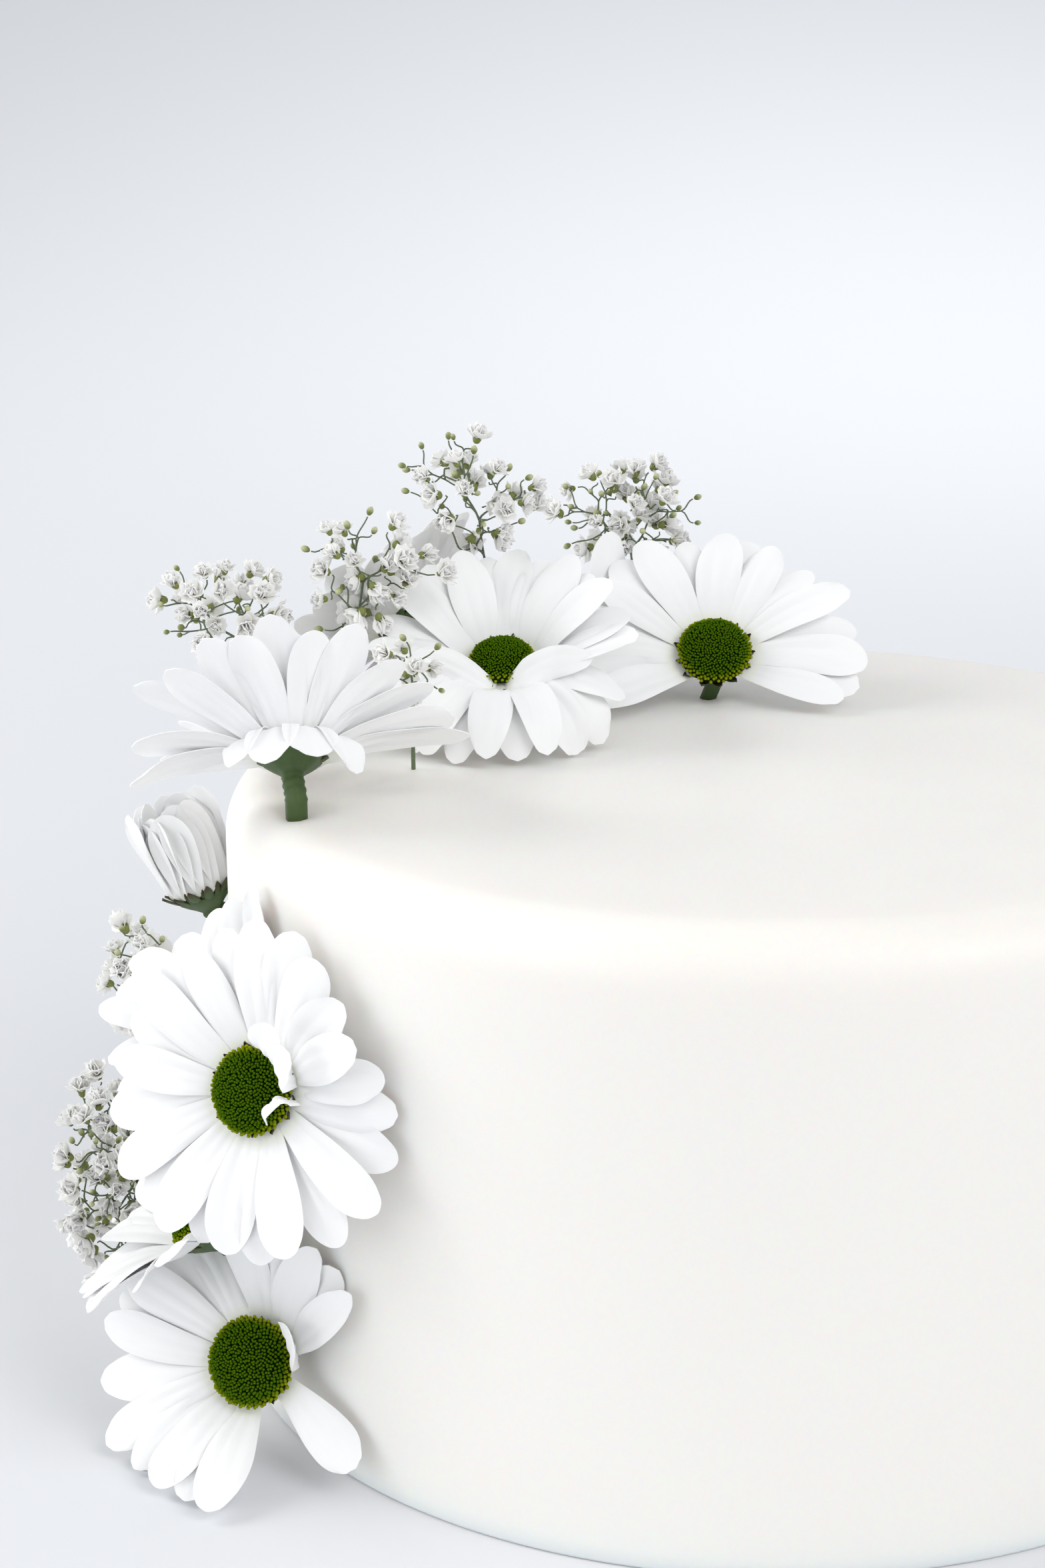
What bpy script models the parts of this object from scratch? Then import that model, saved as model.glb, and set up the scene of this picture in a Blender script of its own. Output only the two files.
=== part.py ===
"""Flower-decorated wedding cake: a smooth iced round cake with daisies and baby's breath.

Blender 4.5, metres, +Z up. The flat bottom of the cake lies on Z = 0 around the origin. The
flowers run from the back of its top over the left edge (-X) down the side to the foot.
Each daisy is a whorl of petals, a domed green centre, and a stem with its green cup, and
its stem stands in a socket in the cake. Each spray of baby's breath is one solid out to the
outline of its florets, on a stem in a socket of its own.
"""
import math
import random
from collections import namedtuple

import bmesh
import bpy
from mathutils import Matrix, Vector
from mathutils.bvhtree import BVHTree

MM = 0.001

# The cake: an eight-inch round, four and a half inches tall, with a rounded top edge.
CAKE_RADIUS = 101.6 * MM
CAKE_HEIGHT = 114.3 * MM
EDGE_RADIUS = 9.5 * MM
CAKE_STEPS = 64
EDGE_STEPS = 4

# A daisy's head, along its facing axis from the plane of its petals.
PETAL_COUNT = 12
PETAL_THICKNESS = 0.8 * MM
PETAL_STATIONS = (0.36, 0.74, 1.0)
PETAL_HALF_WIDTHS = (3.6 * MM, 4.6 * MM, 2.8 * MM)
PETAL_GROOVE = 0.5 * MM
PETAL_TIP = 1.2 * MM
CENTRE_STEPS = 12
CENTRE_HEIGHT = 4.6 * MM
CENTRE_RIM = 1.1 * MM
CUP_STEPS = 8
CUP_RADIUS = 5.6 * MM
CUP_RIM = 1.0 * MM
CUP_TAPER = 0.93
CUP_NECK = 1.15
CUP_DEPTH = 5.0 * MM

# Stems and their sockets.
GAP = 0.3 * MM
STEM_RADIUS = 2.1 * MM
STEM_POINTS = 5
STEM_DEPTH = 10 * MM
SPRIG_STEM_RADIUS = 1.0 * MM
SPRIG_DEPTH = 8 * MM
STRAIGHT_REACH = 3 * MM
SOCKET_SIDES = 8
SOCKET_ROOM = 0.5 * MM

# Room that a petal or a spray keeps from what is there before it, and from the ground.
CLEARANCE = 0.9 * MM
GROUND_CLEARANCE = 1.0 * MM
TILT_STEP = 5
TILT_LIMIT = 70
ROOT_SHARE = 0.7
PETAL_SWAY = 7
PETAL_SIZES = (0.86, 1.06)

# foot: ("top", x, y) or ("side", azimuth, height); hub: the middle of the petals' plane;
# facing: azimuth and elevation; slopes: a petal's rise at its root and at its tip;
# habit: (middle angle, half span, root slope, tip slope) of petals that bend otherwise, or
# None for the slopes where the petals are missing. Angles run from the head's right, over
# its top at 90, to its bottom at 270. Millimetres and degrees.
Daisy = namedtuple("Daisy", "foot hub facing petal_length centre_radius slopes habits")
# The open flowers in front come first, and those behind them give way.
DAISIES = {
    "daisy_01": Daisy(("top", -7, 50), (-6, 47, 124), (-92, 46), 22, 7.4, (14, -6),
                      [(270, 45, None, None)]),
    "daisy_02": Daisy(("top", -47, 26), (-49, 19, 129), (-96, 64), 21, 6.3, (26, 4),
                      [(90, 70, 44, 24), (270, 62, 32, -84)]),
    "daisy_03": Daisy(("top", -86, -33), (-87, -27, 125), (95, 46), 23, 6.6, (46, 44),
                      [(90, 10, 36, 26), (90, 40, 26, 20), (30, 10, 24, 12), (0, 10, 8, -28),
                       (150, 10, 24, 8), (180, 10, 12, -6)]),
    "daisy_04": Daisy(("side", -151, 70), (-92, -66, 75), (-117, 18), 21, 7.6, (14, -4),
                      [(45, 20, 36, 14)]),
    "daisy_05": Daisy(("side", -155, 19), (-95, -57, 19), (-110, 24), 21, 8.0, (12, 0),
                      [(300, 10, None, None), (0, 10, None, None), (45, 20, 44, 20)]),
    "daisy_06": Daisy(("side", 174, 82), (-108, 9, 88), (169, 69), 17, 5.2, (80, 94), []),
    "daisy_07": Daisy(("side", -155, 78), (-97, -51, 82), (-148, 60), 19, 6.2, (34, 14), []),
    "daisy_08": Daisy(("side", -156, 40), (-103, -50, 43), (172, 48), 20, 6.6, (38, 8), []),
    "daisy_09": Daisy(("top", -68, 44), (-70, 48, 131), (140, 36), 20, 6.6, (24, 8), []),
    "daisy_10": Daisy(("top", -31, 62), (-31, 67, 124), (88, 66), 20, 6.8, (34, 8), []),
}

# foot as above; middle and reach: centre and half sizes of the cloud of florets.
Sprig = namedtuple("Sprig", "foot middle reach")
SPRIGS = {
    "sprig_1": Sprig(("top", -47, 53), (-57, 37, 157), (18, 10, 16)),
    "sprig_2": Sprig(("top", -80, 22), (-75, 24, 145), (16, 10, 15)),
    "sprig_3": Sprig(("top", -82, 10), (-102, 20, 141), (15, 11, 11)),
    "sprig_4": Sprig(("top", -19, 76), (-23, 78, 147), (19, 10, 12)),
    "sprig_5": Sprig(("side", -181, 72), (-120, -4, 75), (9, 10, 13)),
    "sprig_6": Sprig(("side", -178, 34), (-125, -14, 37), (13, 12, 21)),
    "sprig_7": Sprig(("top", -66, -2), (-66, 0, 134), (7, 6, 8)),
}
SPRIG_LUMP = 0.16
LUMP_TURNS = 4.3
SPRIG_UPTURN = 20 * MM
SPRIG_SEGMENTS = 10
SPRIG_RINGS = 8
CLOUD_TRIES = 40
CLOUD_SHRINK = 0.93

COLOURS = {
    "icing": ((0.87, 0.86, 0.84), 0.5),
    "petals": ((0.93, 0.93, 0.92), 0.55),
    "flower_centres": ((0.05, 0.13, 0.01), 0.7),
    "stems": ((0.06, 0.12, 0.03), 0.6),
    "florets": ((0.80, 0.80, 0.70), 0.7),
}


def material(name):
    """The shared material of this name, made on first use."""
    found = bpy.data.materials.get(name)
    if found:
        return found
    made = bpy.data.materials.new(name)
    made.use_nodes = True
    colour, roughness = COLOURS[name]
    shader = made.node_tree.nodes["Principled BSDF"]
    shader.inputs["Base Color"].default_value = (*colour, 1.0)
    shader.inputs["Roughness"].default_value = roughness
    shader.inputs["Metallic"].default_value = 0.0
    made.diffuse_color = (*colour, 1.0)
    return made


def collection(name):
    made = bpy.data.collections.new(name)
    bpy.context.scene.collection.children.link(made)
    return made


def add_object(name, data, home, material_name=None):
    made = bpy.data.objects.new(name, data)
    home.objects.link(made)
    if material_name:
        made.data.materials.append(material(material_name))
    return made


def turned(name, profile, steps, home, material_name=None):
    """A profile of (radius, height) points, outer side top to bottom, turned about Z."""
    mesh = bpy.data.meshes.new(name)
    edges = [(index, index + 1) for index in range(len(profile) - 1)]
    mesh.from_pydata([(radius, 0.0, height) for radius, height in profile], edges, [])
    made = add_object(name, mesh, home, material_name)
    screw = made.modifiers.new("Turn", "SCREW")
    screw.axis = "Z"
    screw.angle = math.tau
    screw.steps = steps
    screw.render_steps = steps
    screw.use_merge_vertices = True
    screw.merge_threshold = 0.00001
    return made


def evaluated(made):
    """The object as its modifiers leave it, as a bmesh in world coordinates."""
    bpy.context.view_layer.update()
    graph = bpy.context.evaluated_depsgraph_get()
    shape = bmesh.new()
    shape.from_mesh(made.evaluated_get(graph).to_mesh())
    shape.transform(made.matrix_world)
    return shape


def tree_of(made):
    shape = evaluated(made)
    tree = BVHTree.FromBMesh(shape)
    shape.free()
    return tree


def tube(name, points, radius, home, material_name=None):
    """A round stem through the points, as a closed mesh with its caps welded on."""
    curve = bpy.data.curves.new(name, "CURVE")
    curve.dimensions = "3D"
    curve.bevel_depth = radius
    curve.bevel_resolution = 2
    curve.use_fill_caps = True
    spline = curve.splines.new("POLY")
    spline.points.add(len(points) - 1)
    for control, point in zip(spline.points, points):
        control.co = (*point, 1.0)
    drawn = add_object(name + "_curve", curve, home)
    bpy.context.view_layer.update()
    graph = bpy.context.evaluated_depsgraph_get()
    mesh = bpy.data.meshes.new_from_object(drawn.evaluated_get(graph))
    welded = bmesh.new()
    welded.from_mesh(mesh)
    bmesh.ops.remove_doubles(welded, verts=welded.verts, dist=0.00001)
    welded.to_mesh(mesh)
    welded.free()
    mesh.name = name
    mesh.materials.clear()
    made = add_object(name, mesh, home, material_name)
    made.matrix_world = drawn.matrix_world
    bpy.data.objects.remove(drawn)
    return made


def join(made, tool, operation):
    step = made.modifiers.new(tool.name, "BOOLEAN")
    step.operation = operation
    step.solver = "EXACT"
    step.object = tool


def direction(azimuth, elevation):
    azimuth, elevation = math.radians(azimuth), math.radians(elevation)
    flat = math.cos(elevation)
    return Vector((flat * math.cos(azimuth), flat * math.sin(azimuth), math.sin(elevation)))


def foot_frame(foot):
    """Where a stem enters the cake, and the way out of the cake there."""
    kind, first, second = foot
    if kind == "top":
        return Vector((first * MM, second * MM, CAKE_HEIGHT)), Vector((0, 0, 1))
    out = direction(first, 0)
    return out * CAKE_RADIUS + Vector((0, 0, second * MM)), out


def stem_points(foot, depth, end, end_way):
    """A smooth way from inside the cake, straight out of its socket, to the flower."""
    place, out = foot_frame(foot)
    start = place + out * STRAIGHT_REACH
    pull = (end - start).length / 3
    knots = [start, start + out * pull, end - end_way * pull, end]
    points = [place - out * depth]
    for index in range(STEM_POINTS):
        t = index / (STEM_POINTS - 1)
        weights = ((1 - t) ** 3, 3 * t * (1 - t) ** 2, 3 * t * t * (1 - t), t ** 3)
        points.append(sum((knot * weight for knot, weight in zip(knots, weights)), Vector()))
    return points


def make_socket(name, foot, radius, depth, cutters):
    """A round hole for a stem, a gap wider and deeper than the stem."""
    place, out = foot_frame(foot)
    length = depth + GAP + STRAIGHT_REACH
    bpy.ops.mesh.primitive_cylinder_add(vertices=SOCKET_SIDES, radius=radius + SOCKET_ROOM, depth=length)
    made = bpy.context.object
    made.name = name
    turn = out.to_track_quat("Z", "Y").to_matrix().to_4x4()
    made.matrix_world = Matrix.Translation(place + out * (STRAIGHT_REACH - length / 2)) @ turn
    for home in list(made.users_collection):
        home.objects.unlink(made)
    cutters.objects.link(made)
    return made


def make_cake(parts):
    straight = CAKE_RADIUS - EDGE_RADIUS
    profile = [(0.0, CAKE_HEIGHT)]
    for step in range(EDGE_STEPS + 1):
        angle = math.pi / 2 * (1 - step / EDGE_STEPS)
        profile.append((straight + EDGE_RADIUS * math.cos(angle),
                        CAKE_HEIGHT - EDGE_RADIUS + EDGE_RADIUS * math.sin(angle)))
    profile += [(CAKE_RADIUS, 0.0), (0.0, 0.0)]
    return turned("cake", profile, CAKE_STEPS, parts, "icing")


def make_head(name, daisy, parts):
    """An empty for the head: Z is where it faces, Y its top, and the origin is its hub."""
    facing = direction(*daisy.facing)
    right = Vector((0, 0, 1)).cross(facing).normalized()
    top = facing.cross(right)
    turn = Matrix((right, top, facing)).transposed().to_4x4()
    head = bpy.data.objects.new(name + "_head", None)
    parts.objects.link(head)
    head.matrix_world = Matrix.Translation(Vector(daisy.hub) * MM) @ turn
    bpy.context.view_layer.update()
    return head


def make_centre(name, daisy, head, parts):
    radius = daisy.centre_radius * MM
    floor = PETAL_THICKNESS / 2 + GAP
    profile = [(0.0, floor + CENTRE_HEIGHT)]
    for share in (0.5, 0.85, 1.0):
        rise = math.sqrt(1 - share * share)
        profile.append((radius * share, floor + CENTRE_RIM + (CENTRE_HEIGHT - CENTRE_RIM) * rise))
    profile += [(radius - CENTRE_RIM, floor), (0.0, floor)]
    made = turned(name + "_centre", profile, CENTRE_STEPS, parts, "flower_centres")
    made.parent = head
    return made


def make_stem(name, daisy, matrix, parts, cutters):
    """The stem as a tube, joined to the turned green cup under the petals."""
    top = -(PETAL_THICKNESS / 2 + GAP)
    cup_profile = [(0.0, top), (CUP_RADIUS, top), (CUP_RADIUS * CUP_TAPER, top - CUP_RIM),
                   (STEM_RADIUS * CUP_NECK, top - CUP_DEPTH), (0.0, top - CUP_DEPTH)]
    cup = turned(name + "_cup", cup_profile, CUP_STEPS, cutters)
    cup.matrix_world = matrix
    facing = matrix.to_3x3() @ Vector((0, 0, 1))
    neck = matrix @ Vector((0, 0, top - CUP_DEPTH / 2))
    points = stem_points(daisy.foot, STEM_DEPTH, neck, facing)
    stem = tube(name + "_stem", points, STEM_RADIUS, parts, "stems")
    join(stem, cup, "UNION")
    return stem


def arc_point(length, root_slope, tip_slope, share):
    """Run and rise after a share of an arc that turns from one slope to the other."""
    turn = tip_slope - root_slope
    if abs(turn) < 0.001:
        return length * share * math.cos(root_slope), length * share * math.sin(root_slope)
    slope = root_slope + turn * share
    run = length / turn * (math.sin(slope) - math.sin(root_slope))
    rise = length / turn * (math.cos(root_slope) - math.cos(slope))
    return run, rise


def petal_rows(daisy, angle, sway, slopes, length):
    """Three points across the petal at each of its stations, in the head's frame."""
    root_slope, tip_slope = (math.radians(slope) for slope in slopes)
    hub_radius = daisy.centre_radius * MM + PETAL_THICKNESS
    rows = []
    for share, half_width in zip(PETAL_STATIONS, PETAL_HALF_WIDTHS):
        run, rise = arc_point(length, root_slope, tip_slope, share)
        slope = root_slope + (tip_slope - root_slope) * share
        heading = math.radians(angle + sway * share)
        out = Vector((math.cos(heading), math.sin(heading), 0))
        side = Vector((-out.y, out.x, 0))
        along = out * math.cos(slope) + Vector((0, 0, math.sin(slope)))
        normal = along.cross(side) * -1
        middle = out * (hub_radius + run) + Vector((0, 0, rise))
        centre = middle - normal * PETAL_GROOVE
        if share == 1.0:
            centre = middle + along * PETAL_TIP
        rows.append((middle - side * half_width, centre, middle + side * half_width))
    return rows


def hub_points(daisy, angle):
    radius = daisy.centre_radius * MM + PETAL_THICKNESS
    half = 180 / PETAL_COUNT
    return [Vector((radius * math.cos(math.radians(angle + offset)),
                    radius * math.sin(math.radians(angle + offset)), 0))
            for offset in (-half, 0, half)]


def petal_is_clear(grid, trees):
    """Whether a petal, given as rows of world points, keeps its room from what is placed."""
    points = [point for row in grid for point in row]
    if min(point.z for point in points) < GROUND_CLEARANCE + PETAL_THICKNESS / 2:
        return False
    tip = grid[-1][1]
    if math.hypot(tip.x, tip.y) < CAKE_RADIUS and tip.z < CAKE_HEIGHT:
        return False
    faces = []
    for row in range(len(grid) - 1):
        for column in range(2):
            first = row * 3 + column
            faces.append((first, first + 1, first + 4, first + 3))
    samples = list(points)
    for face in faces:
        corners = [points[index] for index in face]
        samples.append(sum(corners, Vector()) / 4)
        samples += [(corners[i] + corners[(i + 1) % 4]) / 2 for i in range(4)]
    own = BVHTree.FromPolygons(points, faces)
    reach = CLEARANCE + PETAL_THICKNESS / 2
    return not any(own.overlap(tree) or any(tree.find_nearest(sample, reach)[0] for sample in samples)
                   for tree in trees)


def petal_slopes(daisy, angle):
    """The slopes of the petal at this angle, or None where it is missing."""
    for middle, half_span, root_slope, tip_slope in daisy.habits:
        away = abs((angle - middle + 180) % 360 - 180)
        if away <= half_span:
            return None if root_slope is None else (root_slope, tip_slope)
    return daisy.slopes


def clear_petal(daisy, angle, rng, matrix, trees):
    """The rows of a petal that touches nothing, or None where there is no room for one.

    A petal that would touch the cake, the ground or another flower rises or falls until
    it is clear, as a real one is pushed aside.
    """
    wanted = petal_slopes(daisy, angle)
    sway = rng.uniform(-PETAL_SWAY, PETAL_SWAY)
    wobble = rng.uniform(-PETAL_SWAY, PETAL_SWAY)
    length = daisy.petal_length * MM * rng.uniform(*PETAL_SIZES)
    if wanted is None:
        return None
    root = hub_points(daisy, angle)
    for size in range(0, TILT_LIMIT + 1, TILT_STEP):
        for tilt in (size, -size):
            slopes = (wanted[0] + wobble + tilt * ROOT_SHARE, wanted[1] + wobble + tilt)
            rows = petal_rows(daisy, angle, sway, slopes, length)
            if petal_is_clear([[matrix @ point for point in row] for row in [root] + rows], trees):
                return rows
    return None


def edges_along(shape, row):
    return [shape.edges.get(pair) for pair in zip(row, row[1:])]


def make_petals(name, daisy, head, trees, parts):
    """A whorl of petals: a flat hub, and from its edge each petal drawn out row by row."""
    rng = random.Random(name)
    shape = bmesh.new()
    rim = PETAL_COUNT * 2
    radius = daisy.centre_radius * MM + PETAL_THICKNESS
    circle = bmesh.ops.create_circle(shape, cap_ends=True, radius=radius, segments=rim)["verts"]
    circle.sort(key=lambda vertex: math.atan2(vertex.co.y, vertex.co.x) % math.tau)
    for index in range(PETAL_COUNT):
        angle = math.degrees(math.atan2(circle[index * 2].co.y, circle[index * 2].co.x))
        rows = clear_petal(daisy, angle, rng, head.matrix_world, trees)
        if not rows:
            continue
        last = [circle[(index * 2 + offset) % rim] for offset in (-1, 0, 1)]
        for row in rows:
            drawn = bmesh.ops.extrude_edge_only(shape, edges=edges_along(shape, last))["geom"]
            fresh = [item for item in drawn if isinstance(item, bmesh.types.BMVert)]
            last = [min(fresh, key=lambda vertex: (vertex.co - old.co).length) for old in last]
            for vertex, place in zip(last, row):
                vertex.co = place
    bmesh.ops.recalc_face_normals(shape, faces=shape.faces)
    mesh = bpy.data.meshes.new(name + "_petals")
    shape.to_mesh(mesh)
    shape.free()
    made = add_object(name + "_petals", mesh, parts, "petals")
    made.parent = head
    thick = made.modifiers.new("Thickness", "SOLIDIFY")
    thick.thickness = PETAL_THICKNESS
    thick.offset = 0.0
    return made


def make_sprig_stem(name, sprig, parts):
    middle = Vector(sprig.middle) * MM
    place, out = foot_frame(sprig.foot)
    points = stem_points(sprig.foot, SPRIG_DEPTH, middle, (middle - place + out * SPRIG_UPTURN).normalized())
    return tube(name, points, SPRIG_STEM_RADIUS, parts, "florets")


def make_cloud(name, sprig, trees, cutters):
    """The outline of a spray's florets: a lumpy cloud that gives way to the flowers."""
    rng = random.Random(name)
    middle = Vector(sprig.middle) * MM
    phases = [rng.uniform(0, math.tau) for _ in range(3)]
    shape = bmesh.new()
    bmesh.ops.create_uvsphere(shape, u_segments=SPRIG_SEGMENTS, v_segments=SPRIG_RINGS, radius=1.0)
    for vertex in shape.verts:
        way = vertex.co.normalized()
        lump = sum(math.sin(LUMP_TURNS * way[axis] + phases[axis]) for axis in range(3)) / 3
        for axis in range(3):
            vertex.co[axis] = way[axis] * sprig.reach[axis] * MM * (1 + SPRIG_LUMP * lump)
    for _ in range(CLOUD_TRIES):
        own = BVHTree.FromPolygons([middle + vertex.co for vertex in shape.verts],
                                   [[vertex.index for vertex in face.verts] for face in shape.faces])
        shape.faces.ensure_lookup_table()
        held = set()
        for tree in trees:
            for mine, _ in own.overlap(tree):
                held.update(shape.faces[mine].verts)
            held.update(vertex for vertex in shape.verts
                        if tree.find_nearest(middle + vertex.co, CLEARANCE)[0])
        if not held:
            break
        for vertex in held:
            vertex.co *= CLOUD_SHRINK
    mesh = bpy.data.meshes.new(name + "_cloud")
    shape.to_mesh(mesh)
    shape.free()
    cloud = add_object(name + "_cloud", mesh, cutters)
    cloud.location = middle
    return cloud


def main():
    for old in list(bpy.data.objects):
        bpy.data.objects.remove(old)
    parts = collection("flower_cake")
    cutters = collection("cutters")
    cake = make_cake(parts)

    heads = {}
    solids = {"cake": tree_of(cake)}
    for name, daisy in DAISIES.items():
        head = heads[name] = make_head(name, daisy, parts)
        solids[name + "_stem"] = tree_of(make_stem(name, daisy, head.matrix_world, parts, cutters))
        solids[name + "_centre"] = tree_of(make_centre(name, daisy, head, parts))
    sprays = {name: make_sprig_stem(name, sprig, parts) for name, sprig in SPRIGS.items()}
    solids.update({name: tree_of(spray) for name, spray in sprays.items()})

    for name, daisy in DAISIES.items():
        others = [tree for key, tree in solids.items() if not key.startswith(name)]
        petals = make_petals(name, daisy, heads[name], others, parts)
        solids[name + "_petals"] = tree_of(petals)
    for name, sprig in SPRIGS.items():
        others = [tree for key, tree in solids.items() if key != name]
        join(sprays[name], make_cloud(name, sprig, others, cutters), "UNION")
        solids[name] = tree_of(sprays[name])

    holes = [(name, daisy.foot, STEM_RADIUS, STEM_DEPTH) for name, daisy in DAISIES.items()]
    holes += [(name, sprig.foot, SPRIG_STEM_RADIUS, SPRIG_DEPTH) for name, sprig in SPRIGS.items()]
    for name, foot, radius, depth in holes:
        join(cake, make_socket(name + "_socket", foot, radius, depth, cutters), "DIFFERENCE")
    for tool in cutters.objects:
        tool.hide_render = True
        tool.display_type = "WIRE"


main()
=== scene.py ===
"""Looks for the flower-decorated cake: smooth icing, ten daisies and sprays of baby's breath.

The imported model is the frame. Each daisy grows on its own solids: the disc gives where the head
faces, the thin petals give the lines that the full petals follow, and the stem gives where it
enters the cake. Each spray fills its cloud with stalks that fork down to florets and buds.
"""

import math
import random
from collections import namedtuple

import bmesh
import bpy
from bpy.props import (FloatProperty, FloatVectorProperty, IntProperty, PointerProperty)
from bpy.types import Operator, Panel, PropertyGroup
from mathutils import Matrix, Vector, noise
from mathutils.bvhtree import BVHTree


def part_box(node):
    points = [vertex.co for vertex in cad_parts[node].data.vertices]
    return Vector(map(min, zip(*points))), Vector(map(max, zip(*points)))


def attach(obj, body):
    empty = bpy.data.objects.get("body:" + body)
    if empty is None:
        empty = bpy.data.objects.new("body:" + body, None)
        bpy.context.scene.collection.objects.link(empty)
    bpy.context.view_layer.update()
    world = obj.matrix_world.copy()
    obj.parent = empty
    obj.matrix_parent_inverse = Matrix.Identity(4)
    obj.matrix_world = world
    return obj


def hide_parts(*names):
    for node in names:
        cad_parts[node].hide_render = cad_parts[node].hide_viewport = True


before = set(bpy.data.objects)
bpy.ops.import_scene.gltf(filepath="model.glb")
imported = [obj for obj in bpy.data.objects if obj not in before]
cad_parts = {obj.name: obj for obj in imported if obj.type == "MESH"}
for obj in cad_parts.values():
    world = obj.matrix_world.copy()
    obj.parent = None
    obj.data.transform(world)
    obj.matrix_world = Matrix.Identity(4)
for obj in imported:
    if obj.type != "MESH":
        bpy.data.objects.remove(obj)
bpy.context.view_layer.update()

bl_info = {
    "name": "Flower Cake",
    "version": (1, 0, 0),
    "blender": (4, 5, 0),
    "location": "3D View > Sidebar > Flower Cake",
    "description": "Builds an iced cake with a garland of daisies and baby's breath",
    "category": "Object",
}

MM = 0.001
BODY = "root"

CAKE_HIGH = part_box("cake")[1]
CAKE_RADIUS = CAKE_HIGH.x
CAKE_HEIGHT = CAKE_HIGH.z
EDGE_RADIUS = 9.5 * MM

DAISIES = sorted(name[:-len("_petals")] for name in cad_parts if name.endswith("_petals"))
SPRIGS = sorted(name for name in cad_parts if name.startswith("sprig_"))

PETAL_LIFT = 0.7 * MM        # from the middle of the petals' hub to the disc's flat back
HUB_MARGIN = 0.8 * MM        # how far the petals' hub stands out beyond the disc
NECK_DEPTH = 3.2 * MM        # from the hub down to where the stem meets the head
STRAIGHT_REACH = 3 * MM      # how far a stem goes straight out of the icing
BURIED = 1.5 * MM            # how much of a stem stays under the icing
CUP_ROOM = 0.8 * MM          # the least gap between a green cup and the icing
SLIM_STEMS = {"daisy_01": 0.78}                    # share of the usual thickness
STEM_LEANS = {"daisy_01": Vector((0.4, 0, 0))}     # added to the way out of the icing
PETAL_ROWS = 18
PETAL_COLUMNS = 10
PETAL_ROOM = 0.5 * MM        # the least gap between a petal and the icing
REAR_GAP = math.radians(40)  # petals further apart than this have none behind them
REAR_DROPS = (1.0, 0.3, 2.2, -0.6)      # how far back a rear petal goes, tried in this order

ICING_SIDES = 216
TOP_RINGS, EDGE_RINGS, WALL_RINGS = 34, 16, 39
ICING_FOOT = 0.8 * MM        # the small round at the foot of the wall
LIP_REACH = 16 * MM          # how far from a stem the icing still gives

DISC_HEIGHT = 4.4 * MM
DISC_RIM = 0.9 * MM          # height of the florets at the rim
DISC_INSET = 0.15 * MM
BED_HEIGHT = 3.4 * MM        # the closed bed under the florets
BED_LIFT = 0.8 * MM
# Profiles of small turned parts: (radius, height), as shares of the part's size
DISC_FLORET = [(0.34, -0.5), (0.54, 0.1), (0.56, 0.5), (0.44, 0.86), (0.2, 1.05)]

STEM_SIDES = 30
STEM_STEPS = 14
STEM_RADIUS = 2.0            # mm
CUP_HEIGHTS = (-4.0, -3.0, -2.0, -1.35, -1.3)      # mm along the head's axis
CUP_RADII = (2.9, 4.2, 5.3, 5.7, 0.4)              # mm, one for each height
# Rings of bracts: radius and height in mm, slope outwards, length in mm
BRACT_RINGS = ((3.1, -3.5, 0.75, 4.9), (4.1, -2.9, 1.1, 4.3), (4.8, -2.1, 1.7, 4.7))

CLOUD_TRIES = 9000           # points tried inside a spray's outline
CLOUD_DEPTH = 1.5 * MM       # how deep inside it a floret stands
DAISY_ROOM = 2.4 * MM        # the least gap between a floret and a petal
ICING_ROOM = 3.5 * MM        # the least gap between a floret and the icing
STALK_TIP = 0.15 * MM
STALK_LEAST = 0.17 * MM
CALYX = [(0.07, -0.42), (0.18, -0.34), (0.25, -0.14), (0.27, 0.06), (0.19, 0.05), (0.06, -0.04)]
BUD = [(0.25, -1.3), (0.62, -1.0), (0.94, -0.3), (0.9, 0.4), (0.55, 0.95), (0.12, 1.25)]

# Lights: name, place, target, width, colour, spread in degrees
LIGHTS = (("key", (-1.3, 0.35, 0.95), (0, 0, 0.08), 0.9, (1.0, 0.99, 0.97), 180),
          ("fill", (0.9, -1.05, 1.22), (0, 0, 0.05), 1.3, (1.0, 0.995, 0.985), 180),
          ("side", (-1.15, -1.05, 0.16), (-0.06, 0, 0.09), 1.0, (1.0, 0.995, 0.985), 180),
          ("left", (-1.2, -0.15, 0.3), (-0.09, -0.02, 0.08), 1.0, (1.0, 0.995, 0.98), 180),
          ("back", (0.25, 0.98, 0.9), (0.25, 1.24, 0), 0.8, (1.0, 1.0, 1.0), 110))
SKY_COLOUR = (0.965, 0.98, 1.0, 1.0)
FLOOR_FRONT, FLOOR_BACK, FLOOR_SIDE = -8.0, 0.8, 8.0
BEND_RADIUS, BEND_STEPS, BACKDROP_TOP = 2.2, 32, 3.4

CAMERA_PLACE = (-0.0454, -0.5574, 0.2710)
CAMERA_DOWN = math.radians(16.055)
CAMERA_ROLL = math.radians(-0.66)

Head = namedtuple("Head", "name matrix radius")
Look = namedtuple("Look", "width tip notch cup twist ruffle phase thickness")
End = namedtuple("End", "place facing size kind")


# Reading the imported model

def merged(node_name):
    """A CAD node's mesh as a bmesh, with its loose triangles joined."""
    shape = bmesh.new()
    shape.from_mesh(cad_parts[node_name].data)
    bmesh.ops.remove_doubles(shape, verts=shape.verts, dist=1e-6)
    shape.normal_update()
    return shape


def closed_tree(node_name):
    """A CAD node's surface, to test what crosses it or lies inside it."""
    shape = merged(node_name)
    tree = BVHTree.FromBMesh(shape)
    shape.free()
    return tree


def mean(points):
    return sum(points, Vector()) / len(points)


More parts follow.
